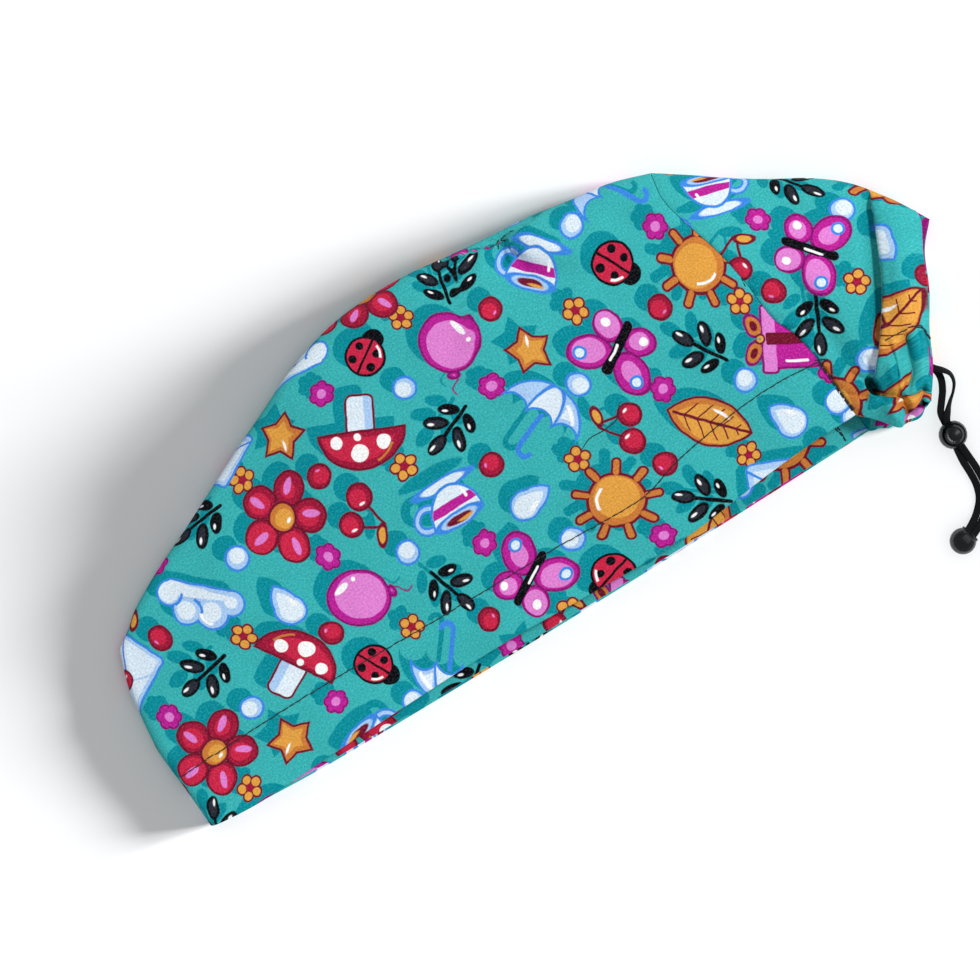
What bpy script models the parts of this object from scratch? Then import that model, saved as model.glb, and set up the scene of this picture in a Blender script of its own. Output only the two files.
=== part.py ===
"""A scrub cap that lies on its side.

A hemmed front panel, folded at the forehead, is sewn to a back panel that is gathered on
a drawcord. Each panel has a near sheet on top and a far sheet on the floor. Two strands of
cord leave a buttonhole at the back and run through a ball lock to an end ball.

+X runs along the band from the forehead to the nape, +Y from the band to the crown, and +Z
up. The origin is on the floor under the middle of the cloth.
"""

import math

import bmesh
import bpy
import numpy as np
from mathutils import Vector

# The cap as a whole, in metres
CAP_LENGTH = 0.336
CROWN_HEIGHT = 0.1304
PUFF = 0.027

# Cloth
CLOTH_WALL = 0.0012
HEM_WALL = 0.0020
HEM_HEIGHT = 0.0205
CASING_WALL = 0.0024
CASING_HEIGHT = 0.0185
CASING_BUNCH = 0.0050
HEM_STEP = 0.0015
SEAM_GAP = 0.0003
FRONT_ROUND = 0.0045
CROWN_ROUND = 0.0050
BACK_ROUND = 0.0070
GATHERS = 6
GATHER_DEPTH = 0.0022

# Where the gathers fade, as shares: up the sheet over the hem, and across it from both ends
GATHER_TOP = 0.55
GATHER_FOLD_END = 0.12
GATHER_SEAM_END = 0.08

# Drawcord, its lock and its end
CORD_DIAMETER = 0.0022
FIT_GAP = 0.0003
PASSAGE = CORD_DIAMETER + 1.5 * FIT_GAP
BUTTONHOLE_DEPTH = 0.0030
BUTTONHOLE_HEIGHT = 0.0080
BUTTONHOLE_ALONG_FOLD = 0.18
BUTTONHOLE_AIM = (0.60, -0.80)
LOCK_RADIUS = 0.0052
LOCK_WALL = 0.0013
LOCK_FLOOR = 0.0007
LOCK_LIP = 0.0005
PLUNGER_TRAVEL = 0.0012
PLUNGER_CLEARANCE = 0.0003
PLUNGER_PROUD = 0.0010
END_RADIUS = 0.00485
END_LIP = 0.0008
END_LIP_WIDTH = 0.0010

# Mesh density
FRONT_COLUMNS = 25
BACK_COLUMNS = 27
MIDDLE_ROWS = 8
TURNED_SIDES = 20
SHELL_STEPS = 9
DOME_STEPS = 4
BALL_STEPS = 10
CORNER_STEPS = 4
EDGE_SHARES = (0.0, 0.12, 0.45, 1.0)
ON_AXIS = 1e-7
SHARP_ANGLE = 50

# Looks: colour, roughness
COTTON = ((0.06, 0.45, 0.38), 0.85)
ELASTIC = ((0.012, 0.012, 0.013), 0.7)
PLASTIC = ((0.006, 0.006, 0.007), 0.18)

# Outlines. Columns: along as a share of CAP_LENGTH, up as a share of CROWN_HEIGHT.
FRONT_FOLD = (
    (0.000, 0.000),
    (-0.002, 0.121),
    (-0.005, 0.257),
    (0.000, 0.379),
    (0.018, 0.547),
)
CROWN_SEAM = (
    (0.018, 0.547),
    (0.055, 0.616),
    (0.146, 0.729),
    (0.239, 0.839),
    (0.334, 0.946),
    (0.395, 0.989),
    (0.449, 1.000),
    (0.545, 0.978),
    (0.639, 0.950),
    (0.731, 0.909),
    (0.773, 0.873),
)
NEAR_BRIM_EDGE = (
    (0.000, 0.000),
    (0.060, -0.013),
    (0.199, -0.005),
    (0.368, -0.002),
    (0.553, -0.022),
    (0.706, 0.002),
    (0.818, 0.012),
)
FAR_BRIM_EDGE = (
    (0.000, 0.000),
    (0.072, -0.016),
    (0.245, -0.035),
    (0.446, -0.045),
    (0.647, -0.050),
    (0.825, -0.049),
)
NEAR_EAR_SEAM = (
    (0.818, 0.012),
    (0.814, 0.189),
    (0.796, 0.353),
    (0.783, 0.591),
    (0.773, 0.697),
    (0.767, 0.792),
    (0.773, 0.873),
)
FAR_EAR_SEAM = (
    (0.825, -0.049),
    (0.816, 0.170),
    (0.797, 0.353),
    (0.784, 0.591),
    (0.773, 0.873),
)
BACK_FOLD = (
    (0.896, -0.072),
    (0.918, 0.009),
    (0.935, 0.095),
    (0.958, 0.189),
    (0.977, 0.288),
    (1.000, 0.353),
)
BACK_CROWN = (
    (1.000, 0.353),
    (0.976, 0.461),
    (0.948, 0.554),
    (0.915, 0.626),
    (0.842, 0.744),
    (0.773, 0.873),
)
NEAR_CASING_EDGE = (
    (0.896, -0.072),
    (0.884, -0.046),
    (0.869, -0.054),
    (0.851, -0.080),
    (0.836, -0.030),
    (0.818, 0.012),
)
FAR_CASING_EDGE = (
    (0.896, -0.072),
    (0.880, -0.088),
    (0.866, -0.087),
    (0.846, -0.067),
    (0.825, -0.049),
)

# Height of the near sheet over the floor, a row for each section across the panel.
# Columns: place from the fold (0) to the ear seam (1), then shares of PUFF at the edge,
# a quarter up, half way up, three quarters up and at the crown.
EAR_SECTION = (1.00, 0.46, 0.74, 0.95, 0.85, 0.34)
FRONT_SECTIONS = (
    (0.00, 0.21, 0.21, 0.21, 0.20, 0.18),
    (0.12, 0.27, 0.35, 0.41, 0.38, 0.23),
    (0.30, 0.32, 0.49, 0.64, 0.60, 0.29),
    (0.50, 0.38, 0.62, 0.84, 0.79, 0.33),
    (0.70, 0.43, 0.71, 0.97, 0.91, 0.35),
    (0.88, 0.46, 0.75, 1.00, 0.90, 0.35),
    EAR_SECTION,
)
BACK_SECTIONS = (
    (0.00, 0.56, 0.56, 0.46, 0.36, 0.26),
    (0.25, 0.60, 0.66, 0.67, 0.55, 0.30),
    (0.50, 0.58, 0.70, 0.80, 0.70, 0.32),
    (0.75, 0.52, 0.72, 0.90, 0.80, 0.33),
    EAR_SECTION,
)

# Folds and dents of the near sheets, each along a straight line. Columns: start along, start
# up, end along, end up (shares as in the outlines), half width and rise (shares of PUFF). At
# its ends a fold still has the rise that the sine of this share of a half turn gives.
CREASE_END = 0.1
CREASES = (
    (0.589, 0.960, 0.604, 0.800, 0.16, -0.16),
    (0.572, 0.930, 0.510, 0.700, 0.24, 0.10),
    (0.606, 0.930, 0.668, 0.760, 0.24, 0.12),
    (0.700, 0.880, 0.752, 0.640, 0.22, -0.08),
    (0.955, 0.480, 0.885, 0.150, 0.15, -0.22),
    (0.975, 0.400, 0.912, 0.130, 0.20, 0.12),
    (0.840, 0.080, 0.835, 0.420, 0.18, -0.12),
    (0.290, 0.780, 0.220, 0.420, 0.60, -0.04),
)

# Route of the cord, in metres from the buttonhole's mouth, with z from the floor. Each strand
# has its own way to the lock, and from there both run side by side to the end ball.
STRAIGHT_LEAD = (
    (-0.0016, 0.0021, 0.0068),
    (0.0000, 0.0000, 0.0066),
    (0.0009, -0.0022, 0.0058),
    (0.0008, -0.0052, 0.0046),
    (-0.0008, -0.0088, 0.0038),
    (-0.0034, -0.0122, 0.0038),
    (-0.0058, -0.0154, 0.0045),
)
BOW_LEAD = (
    (-0.0016, 0.0021, 0.0093),
    (0.0004, -0.0005, 0.0093),
    (0.0026, -0.0026, 0.0086),
    (0.0043, -0.0052, 0.0070),
    (0.0041, -0.0084, 0.0052),
    (0.0022, -0.0112, 0.0040),
    (-0.0006, -0.0136, 0.0038),
    (-0.0033, -0.0162, 0.0044),
)
LOCK_AT_POINT = 1
SHARED_ROUTE = (
    (-0.0061, -0.0192, 0.0052),
    (-0.0065, -0.0244, 0.0052),
    (-0.0069, -0.0297, 0.0051),
    (-0.0069, -0.0346, 0.0037),
    (-0.0066, -0.0396, 0.0016),
    (-0.0070, -0.0446, 0.0011),
    (-0.0089, -0.0497, 0.0011),
    (-0.0127, -0.0539, 0.0012),
    (-0.0172, -0.0566, 0.0030),
    (-0.0210, -0.0580, 0.0046),
    (-0.0239, -0.0587, 0.0049),
)


def smooth(rows):
    """A smooth curve through rows of numbers, as a function of a share of its length."""
    rows = np.array(rows, float)
    steps = np.linalg.norm(np.diff(rows[:, :2], axis=0), axis=1)
    places = np.concatenate([[0.0], np.cumsum(steps)]) / steps.sum()
    return through(places, rows)


def through(places, rows):
    """A smooth curve that passes each row at its place from 0 to 1."""
    places, rows = np.array(places, float), np.array(rows, float)
    slopes = np.empty_like(rows)
    slopes[1:-1] = (rows[2:] - rows[:-2]) / (places[2:] - places[:-2])[:, None]
    slopes[0] = (rows[1] - rows[0]) / (places[1] - places[0])
    slopes[-1] = (rows[-1] - rows[-2]) / (places[-1] - places[-2])

    def at(share):
        k = min(max(np.searchsorted(places, share) - 1, 0), len(places) - 2)
        span = places[k + 1] - places[k]
        t = (share - places[k]) / span
        bend = t * t * (3 - 2 * t)
        return (
            rows[k] * (1 - bend)
            + rows[k + 1] * bend
            + slopes[k] * span * t * (1 - t) ** 2
            + slopes[k + 1] * span * t * t * (t - 1)
        )

    return at


def outline(rows):
    """A smooth curve in metres through rows of shares."""
    return smooth(np.array(rows) * (CAP_LENGTH, CROWN_HEIGHT))


def patch(rim, fold, crown, ear):
    """The flat place of (u, v): u runs from the fold to the ear seam, v from rim to crown."""

    def at(u, v):
        sides = (1 - v) * rim(u) + v * crown(u) + (1 - u) * fold(v) + u * ear(v)
        corners = (1 - v) * ((1 - u) * rim(0) + u * rim(1))
        return sides - corners - v * ((1 - u) * crown(0) + u * crown(1))

    return at


def section_heights(sections):
    """The near sheet's height at (u, v), in metres, from a table of sections."""
    sections = np.array(sections)
    across = through(sections[:, 0], sections[:, 1:] * PUFF)
    steps = np.linspace(0, 1, sections.shape[1] - 1)

    def at(u, v):
        return float(through(steps, across(u)[:, None])(v)[0])

    return at


def rounded(distance, radius):
    """How far a sheet has opened at this distance from its fold: 0 at the fold, 1 past it."""
    t = min(max(distance / radius, 0.0), 1.0)
    return math.sqrt(1 - (1 - t) ** 2)


def eased(t):
    """A smooth step from 0 to 1."""
    t = min(max(t, 0.0), 1.0)
    return t * t * (3 - 2 * t)


def crease_relief(place):
    """The rise of the near sheet at a place, from the table of folds and dents."""
    total = 0.0
    x, y = place
    for along, up, to_along, to_up, half_width, rise in CREASES:
        start = np.array((along * CAP_LENGTH, up * CROWN_HEIGHT))
        run = np.array((to_along * CAP_LENGTH, to_up * CROWN_HEIGHT)) - start
        offset = np.array((x, y)) - start
        t = min(max(offset @ run / (run @ run), 0.0), 1.0)
        away = np.linalg.norm(offset - t * run) / (half_width * PUFF)
        turn = math.pi * (CREASE_END + (1 - 2 * CREASE_END) * t)
        total += rise * PUFF * math.exp(-away * away) * math.sin(turn)
    return total


class Panel:
    """One folded piece of cloth, with a near and a far sheet that meet at the fold and crown."""

    def __init__(self, near, far, sections, fold_round, hem_height, hem_wall, bunch, gathers):
        self.sheets = {"near": near, "far": far}
        self.height = section_heights(sections)
        self.fold_round = fold_round
        self.hem_height = hem_height
        self.hem_wall = hem_wall
        self.bunch = bunch
        self.gathers = gathers
        self.length = float(np.linalg.norm(near(1, 0.5) - near(0, 0.5)))

    def tall(self, side, u):
        """The sheet's length from rim to crown at u."""
        return float(np.linalg.norm(self.sheets[side](u, 1) - self.sheets[side](u, 0)))

    def row_places(self, side, u):
        """Where the rows lie on a column, as shares of its length."""
        tall = self.tall(side, u)
        hem = [0.0, self.hem_height / 2, self.hem_height, self.hem_height + HEM_STEP]
        edge = [tall - CROWN_ROUND * share for share in reversed(EDGE_SHARES)]
        middle = np.linspace(hem[-1], edge[0], MIDDLE_ROWS + 2)[1:-1]
        return np.array([*hem, *middle, *edge]) / tall

    def gather_relief(self, u, from_rim, tall):
        """The ripple of the gathers, deepest at the rim and gone in the upper half."""
        if not self.gathers:
            return 0.0
        fade = 1 - eased((from_rim - self.hem_height) / (tall * GATHER_TOP))
        ends = eased(u / GATHER_FOLD_END) * eased((1 - u) / GATHER_SEAM_END)
        return GATHER_DEPTH * fade * ends * math.cos(2 * math.pi * self.gathers * u)

    def point(self, side, u, v, inner):
        """A point of the outer or inner skin of a sheet."""
        tall = self.tall(side, u)
        from_rim = v * tall
        turned = 1 - eased((from_rim - self.hem_height) / HEM_STEP)
        wall = CLOTH_WALL + (self.hem_wall - CLOTH_WALL) * turned
        inset = CLOTH_WALL + (self.bunch - CLOTH_WALL) * turned if inner else 0.0
        crown_inset = CLOTH_WALL if inner else 0.0
        along = (inset + u * (self.length - inset)) / self.length
        up = v * (1 - crown_inset / tall)
        place = self.sheets[side](along, up)
        height = self.height(along, up)
        opened = rounded(along * self.length - inset, self.fold_round) * rounded(
            (1 - up) * tall - crown_inset, CROWN_ROUND
        )
        half = height / 2 - (wall if inner else 0.0)
        gather = self.gather_relief(along, from_rim, tall) * opened
        if side == "far":
            return (*place, height / 2 - half * opened + max(gather, 0.0))
        return (*place, height / 2 + (half + crease_relief(place)) * opened + gather)


def panel_object(name, panel, columns, material):
    """The panel's cloth as one closed solid."""
    shares = [share * panel.fold_round / panel.length for share in EDGE_SHARES]
    us = np.concatenate([shares, np.linspace(shares[-1], 1, columns - len(shares) + 1)[1:]])
    rows = len(panel.row_places("near", 0.5))
    mesh = bmesh.new()
    made = {}

    def vertex(inner, side, i, j):
        shared = i == 0 or j == rows - 1
        key = (inner, "edge" if shared else side, i, j)
        if key not in made:
            place = panel.row_places(side, us[i])[j]
            made[key] = mesh.verts.new(panel.point(side, us[i], place, inner))
        return made[key]

    def face(*corners):
        mesh.faces.new([vertex(*corner) for corner in corners])

    for side in ("near", "far"):
        for i in range(columns):
            for j in range(rows - 1):
                for inner in (False, True):
                    if i < columns - 1:
                        face(
                            (inner, side, i, j),
                            (inner, side, i + 1, j),
                            (inner, side, i + 1, j + 1),
                            (inner, side, i, j + 1),
                        )
        last = columns - 1
        for j in range(rows - 1):
            face(
                (False, side, last, j),
                (False, side, last, j + 1),
                (True, side, last, j + 1),
                (True, side, last, j),
            )
        for i in range(columns - 1):
            face(
                (False, side, i, 0),
                (False, side, i + 1, 0),
                (True, side, i + 1, 0),
                (True, side, i, 0),
            )
    bmesh.ops.recalc_face_normals(mesh, faces=mesh.faces)
    return finish_object(name, mesh, material)


def finish_object(name, mesh, material):
    """The object that holds this mesh, shaded smooth, with one material."""
    data = bpy.data.meshes.new(name)
    mesh.to_mesh(data)
    mesh.free()
    data.shade_smooth()
    data.set_sharp_from_angle(angle=math.radians(SHARP_ANGLE))
    data.materials.append(material)
    made = bpy.data.objects.new(name, data)
    bpy.context.scene.collection.objects.link(made)
    return made


def plain_material(name, colour, roughness):
    material = bpy.data.materials.new(name)
    material.use_nodes = True
    shader = material.node_tree.nodes["Principled BSDF"]
    shader.inputs["Base Color"].default_value = (*colour, 1.0)
    shader.inputs["Roughness"].default_value = roughness
    return material


def turned(name, profile, material):
    """A solid turned round Z from a profile of (radius, height) that starts and ends on Z."""
    mesh = bmesh.new()
    rings = []
    for radius, height in profile:
        count = TURNED_SIDES if radius > ON_AXIS else 1
        angles = [2 * math.pi * k / count for k in range(count)]
        rings.append(
            [
                mesh.verts.new((radius * math.cos(a), radius * math.sin(a), height))
                for a in angles
            ]
        )
    for low, high in zip(rings, rings[1:]):
        for k in range(TURNED_SIDES):
            corners = [low[k % len(low)], low[(k + 1) % len(low)]]
            corners += [high[(k + 1) % len(high)], high[k % len(high)]]
            mesh.faces.new(list(dict.fromkeys(corners)))
    bmesh.ops.recalc_face_normals(mesh, faces=mesh.faces)
    return finish_object(name, mesh, material)


def arc(radius, from_angle, to_angle, steps, lift=0.0):
    """Profile points on a circle round the middle of Z, angles in degrees from straight down."""
    angles = np.radians(np.linspace(from_angle, to_angle, steps + 1))
    return [(abs(radius * math.sin(a)), lift - radius * math.cos(a)) for a in angles]


def slot_cutter(name, half_width, low, high, material):
    """A round-cornered bar along X that cuts the strands' passage, from low to high."""
    corner = CORD_DIAMETER / 2 + FIT_GAP
    reach = 2 * LOCK_RADIUS
    centres = (
        (half_width - corner, low + corner, -90),
        (half_width - corner, high - corner, 0),
        (corner - half_width, high - corner, 90),
        (corner - half_width, low + corner, 180),
    )
    section = {}
    for y, z, start in centres:
        for step in range(CORNER_STEPS + 1):
            angle = math.radians(start + 90 / CORNER_STEPS * step)
            place = (y + corner * math.cos(angle), z + corner * math.sin(angle))
            section[tuple(round(value, 6) for value in place)] = place
    mesh = bmesh.new()
    ends = [[mesh.verts.new((x, *place)) for place in section.values()] for x in (-reach, reach)]
    for end in ends:
        mesh.faces.new(end)
    for k in range(len(section)):
        after = (k + 1) % len(section)
        mesh.faces.new((ends[0][k], ends[0][after], ends[1][after], ends[1][k]))
    bmesh.ops.recalc_face_normals(mesh, faces=mesh.faces)
    return as_cutter(finish_object(name, mesh, material))


def as_cutter(made):
    made.hide_render = True
    made.display_type = "WIRE"
    return made


def cut(body, cutter):
    modifier = body.modifiers.new(cutter.name, "BOOLEAN")
    modifier.operation = "DIFFERENCE"
    modifier.object = cutter


def cap_panels(cotton):
    """The front and the back panel, and the back fold's curve in plan."""
    crown, back_crown = outline(CROWN_SEAM), outline(BACK_CROWN)
    front_fold, back_fold = outline(FRONT_FOLD), outline(BACK_FOLD)
    seam_shift = np.array((SEAM_GAP, 0.0))

    def after_seam(curve):
        """The same curve just behind the ear seam, without moving its far end."""
        return lambda share: curve(share) + seam_shift * share

    def behind(curve):
        return lambda share: curve(share) + seam_shift

    near_ear, far_ear = outline(NEAR_EAR_SEAM), outline(FAR_EAR_SEAM)
    front = Panel(
        patch(outline(NEAR_BRIM_EDGE), front_fold, crown, near_ear),
        patch(outline(FAR_BRIM_EDGE), front_fold, crown, far_ear),
        FRONT_SECTIONS,
        FRONT_ROUND,
        HEM_HEIGHT,
        HEM_WALL,
        CLOTH_WALL,
        0,
    )
    back_top = after_seam(back_crown)
    back = Panel(
        patch(after_seam(outline(NEAR_CASING_EDGE)), back_fold, back_top, behind(near_ear)),
        patch(after_seam(outline(FAR_CASING_EDGE)), back_fold, back_top, behind(far_ear)),
        BACK_SECTIONS,
        BACK_ROUND,
        CASING_HEIGHT,
        CASING_WALL,
        CASING_BUNCH,
        GATHERS,
    )
    front_cloth = panel_object("front_panel", front, FRONT_COLUMNS, cotton)
    back_cloth = panel_object("back_panel", back, BACK_COLUMNS, cotton)
    return front_cloth, back_cloth, back_fold


def buttonhole(back_cloth, mouth, material):
    """The hole in the casing that both strands leave by, one above the other."""
    reach = 2 * BUTTONHOLE_DEPTH
    hole = turned(
        "buttonhole_cutter",
        [(0, -BUTTONHOLE_DEPTH), (PASSAGE, -BUTTONHOLE_DEPTH), (PASSAGE, reach), (0, reach)],
        material,
    )
    aim = Vector((*BUTTONHOLE_AIM, 0.0))
    hole.location = (*mouth, BUTTONHOLE_HEIGHT)
    hole.rotation_mode = "QUATERNION"
    hole.rotation_quaternion = aim.to_track_quat("Z", "Y")
    cut(back_cloth, as_cutter(hole))
    return hole


def strand_route(lead, side):
    """A strand's points from the buttonhole's mouth: its lead, then its side of the route."""
    middle = np.array(SHARED_ROUTE)
    runs = np.gradient(middle[:, :2], axis=0)
    runs /= np.linalg.norm(runs, axis=1)[:, None]
    apart = side * (CORD_DIAMETER + FIT_GAP) / 2
    beside = middle + np.column_stack([-runs[:, 1], runs[:, 0], 0 * runs[:, 0]]) * apart
    return np.concatenate([np.array(lead), beside])


def strand(name, lead, side, mouth, material):
    """One strand of the drawcord, as a tube along its route."""
    route = strand_route(lead, side)
    steps = np.linalg.norm(np.diff(route, axis=0), axis=1)
    along = np.concatenate([[0.0], np.cumsum(steps)]) / steps.sum()
    at = through(along, route)
    count = int(steps.sum() / (2 * CORD_DIAMETER)) + 1
    data = bpy.data.curves.new(name, "CURVE")
    data.dimensions = "3D"
    data.bevel_depth = CORD_DIAMETER / 2
    data.bevel_resolution = 2
    data.use_fill_caps = True
    spline = data.splines.new("POLY")
    spline.points.add(count)
    for k, point in enumerate(spline.points):
        x, y, z = at(k / count)
        point.co = (x, y, max(z, CORD_DIAMETER / 2), 1.0)
    data.materials.append(material)
    made = bpy.data.objects.new(name, data)
    made.location = (*mouth, 0.0)
    bpy.context.scene.collection.objects.link(made)
    return made


def place_on_cord(made, mouth, point, aim, axis):
    """Sits a piece on the shared route at one of its points, its local axis along aim."""
    middle = SHARED_ROUTE[point]
    made.location = (mouth[0] + middle[0], mouth[1] + middle[1], middle[2])
    made.rotation_mode = "QUATERNION"
    made.rotation_quaternion = Vector(aim).to_track_quat(axis, "Z" if axis != "Z" else "Y")


def cord_lock(mouth, black):
    """The ball lock: a shell open at the top, and the plunger that slides in it."""
    pocket = LOCK_RADIUS - LOCK_WALL
    floor_radius = LOCK_RADIUS - LOCK_FLOOR
    rim = math.sqrt(LOCK_RADIUS**2 - (pocket + LOCK_LIP) ** 2)
    rim_angle = 180 - math.degrees(math.asin((pocket + LOCK_LIP) / LOCK_RADIUS))
    floor_angle = math.degrees(math.asin(pocket / floor_radius))
    shell = turned(
        "cord_lock_shell",
        [
            *arc(LOCK_RADIUS, 0, rim_angle, SHELL_STEPS),
            (pocket, rim),
            *arc(floor_radius, floor_angle, 0, DOME_STEPS),
        ],
        black,
    )
    plunger_radius = pocket - PLUNGER_CLEARANCE
    foot_radius = floor_radius - PLUNGER_CLEARANCE
    foot_angle = math.degrees(math.asin(plunger_radius / foot_radius))
    shoulder = rim + PLUNGER_TRAVEL + PLUNGER_CLEARANCE
    top = LOCK_RADIUS + PLUNGER_PROUD
    dome = top - shoulder
    dome_radius = (plunger_radius**2 + dome**2) / (2 * dome)
    dome_angle = 180 - math.degrees(math.asin(plunger_radius / dome_radius))
    plunger = turned(
        "cord_lock_plunger",
        [
            *arc(foot_radius, 0, foot_angle, DOME_STEPS, PLUNGER_TRAVEL),
            *arc(dome_radius, dome_angle, 180, DOME_STEPS, top - dome_radius),
        ],
        black,
    )
    strands = CORD_DIAMETER / 2 + FIT_GAP
    window_top = strands + PLUNGER_TRAVEL
    bore = slot_cutter("shell_bore_cutter", PASSAGE, -strands, strands, black)
    window = slot_cutter("plunger_slot_cutter", PASSAGE, -strands, window_top, black)
    cut(shell, bore)
    cut(plunger, window)
    before, after = (np.array(SHARED_ROUTE[LOCK_AT_POINT + k]) for k in (-1, 1))
    aim = (*(after - before)[:2], 0.0)
    pieces = (shell, plunger, bore, window)
    for piece in pieces:
        place_on_cord(piece, mouth, LOCK_AT_POINT, aim, "X")
    return pieces


def end_ball(mouth, black):
    """The closed ball on the cord's end, with a lip round the bore that holds the strands."""
    lip_radius = PASSAGE + END_LIP_WIDTH
    shoulder = math.sqrt(END_RADIUS**2 - lip_radius**2)
    lip_angle = 180 - math.degrees(math.asin(lip_radius / END_RADIUS))
    ball = turned(
        "cord_end_ball",
        [
            *arc(END_RADIUS, 0, lip_angle, BALL_STEPS),
            (lip_radius, shoulder + END_LIP),
            (PASSAGE, shoulder + END_LIP),
            (PASSAGE, -FIT_GAP),
            (0, -FIT_GAP),
        ],
        black,
    )
    last, before = np.array(SHARED_ROUTE[-1]), np.array(SHARED_ROUTE[-2])
    aim = (*(before - last)[:2], 0.0)
    place_on_cord(ball, mouth, len(SHARED_ROUTE) - 1, aim, "Z")
    return ball


def build():
    for old in list(bpy.data.objects):
        bpy.data.objects.remove(old, do_unlink=True)
    cotton = plain_material("printed_cotton", *COTTON)
    elastic = plain_material("black_elastic", *ELASTIC)
    black = plain_material("black_plastic", *PLASTIC)

    front, back, back_fold = cap_panels(cotton)
    mouth = back_fold(BUTTONHOLE_ALONG_FOLD)
    pieces = [front, back, buttonhole(back, mouth, cotton)]
    pieces.append(strand("drawcord_straight", STRAIGHT_LEAD, -1, mouth, elastic))
    pieces.append(strand("drawcord_bow", BOW_LEAD, 1, mouth, elastic))
    pieces.extend(cord_lock(mouth, black))
    pieces.append(end_ball(mouth, black))

    corners = np.array([v.co for cloth in (front, back) for v in cloth.data.vertices])
    low, high = corners.min(axis=0), corners.max(axis=0)
    frame = bpy.data.objects.new("cap_frame", None)
    frame.location = (-(low[0] + high[0]) / 2, -(low[1] + high[1]) / 2, -low[2])
    bpy.context.scene.collection.objects.link(frame)
    for piece in pieces:
        piece.parent = frame


build()
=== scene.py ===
"""The looks of a scrub cap that lies on its side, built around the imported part.

Lengths in the tables are millimetres on the cap's own plan: x runs along the band from the
tip of the forehead fold and y from the band to the crown. PLAN_ORIGIN says where its origin
lies in the frame.
"""

import math

import bmesh
import bpy
import numpy as np
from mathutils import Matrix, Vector
from mathutils.bvhtree import BVHTree


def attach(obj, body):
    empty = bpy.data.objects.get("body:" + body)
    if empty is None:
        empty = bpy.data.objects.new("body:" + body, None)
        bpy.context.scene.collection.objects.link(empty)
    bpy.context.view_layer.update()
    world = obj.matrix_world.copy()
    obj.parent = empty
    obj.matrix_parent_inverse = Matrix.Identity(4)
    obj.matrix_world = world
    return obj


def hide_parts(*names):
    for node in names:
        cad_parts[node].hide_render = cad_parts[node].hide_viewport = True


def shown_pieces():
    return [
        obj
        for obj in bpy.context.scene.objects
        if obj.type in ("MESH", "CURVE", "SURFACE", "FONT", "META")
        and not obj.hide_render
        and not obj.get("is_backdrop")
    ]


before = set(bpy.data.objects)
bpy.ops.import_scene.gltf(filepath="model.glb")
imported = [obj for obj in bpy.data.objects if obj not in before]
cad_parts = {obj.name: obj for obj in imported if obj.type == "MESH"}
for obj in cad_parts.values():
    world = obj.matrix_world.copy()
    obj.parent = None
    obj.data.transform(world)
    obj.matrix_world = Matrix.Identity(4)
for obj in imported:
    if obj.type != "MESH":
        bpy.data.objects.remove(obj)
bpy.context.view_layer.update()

MM = 0.001

# The cap as a whole: its height over the floor, its walls, its turned edges and the radii over
# which its sheets open from the folds and from the crown
PUFF = 27.0
WALL = 0.8
HEM_WALL = 1.5
HEM_HEIGHT = 20.5
CASING_WALL = 2.2
CASING_HEIGHT = 18.5
HEM_STEP = 1.5
FRONT_ROUND = 4.5
BACK_ROUND = 6.0
CROWN_ROUND = 5.0
SEAM_GAP = 0.15

# Mesh density, and the steps round the rim of a sheet
FRONT_COLUMNS, FRONT_ROWS = 232, 96
BACK_COLUMNS, BACK_ROWS = 150, 138
RIM_STEPS = 5
THREAD_SIDES = 6
CORD_SIDES = 20
CORD_STEP = 0.0004

# Where columns and rows lie closer. Columns: share, how much closer, width.
FRONT_COLUMN_FOCI = [(0.0, 1.2, 0.06), (0.735, 1.6, 0.045), (1.0, 1.6, 0.06)]
FRONT_ROW_FOCI = [(0.0, 1.3, 0.16), (0.93, 1.5, 0.10)]
BACK_COLUMN_FOCI = [(0.0, 0.5, 0.08), (1.0, 0.7, 0.06)]
BACK_ROW_FOCI = [(0.0, 1.0, 0.2), (1.0, 0.7, 0.06)]

# Outlines of the sheets, from the tip of the forehead fold
FRONT_FOLD = [
    (0, 0), (-0.7, 15.8), (-1.4, 24.7), (-1.7, 33.5), (0.1, 49.4), (1.3, 57.2), (5.9, 71.3),
]
CROWN_SEAM = [
    (5.9, 71.3), (12.5, 75.6), (18.5, 80.3), (33.2, 88.1), (49.1, 95.0), (64.7, 102.2),
    (80.3, 109.4), (96.2, 116.3), (112.2, 123.3), (132.8, 129.0), (150.8, 130.4), (167.4, 129.7),
    (183.0, 127.5), (198.8, 125.6), (214.8, 123.9), (230.1, 121.1), (245.5, 118.6), (259.6, 113.9),
]
NEAR_BRIM = [
    (0, 0), (20.2, -1.7), (66.9, -0.6), (123.5, -0.2), (160, -1.8), (185.7, -2.9), (203, -2.9),
    (237, 0.3), (258.8, 1.5), (275, 1.6),
]
FAR_BRIM = [
    (0, 0), (24.2, -2.1), (48.8, -3.6), (116, -5.3), (183.5, -6.3), (243, -6.4), (277, -6.2),
]
NEAR_EAR = [
    (275, 1.6), (273.6, 24.6), (271.2, 36.7), (267.3, 46), (265.8, 61.8), (263.2, 77.1),
    (259.6, 90.9), (257.6, 103.3), (259.6, 113.9),
]
FAR_EAR = [(277, -6.2), (274.2, 22), (267.8, 46), (263.4, 77), (259.6, 113.9)]
BACK_FOLD = [
    (300.9, -9.4), (308.4, 1.2), (314.2, 12.4), (322.0, 24.6), (328.4, 37.5), (335.9, 46.0),
]
BACK_CROWN = [
    (335.9, 46.0), (332.0, 53.2), (327.8, 60.1), (318.5, 72.3), (307.3, 81.6), (295, 89),
    (283, 97), (271.4, 105.6), (259.6, 113.9),
]
NEAR_CASING = [(300.9, -9.4), (297, -6.4), (292, -7.2), (286, -10.2), (280.6, -4), (275, 1.6)]
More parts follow.
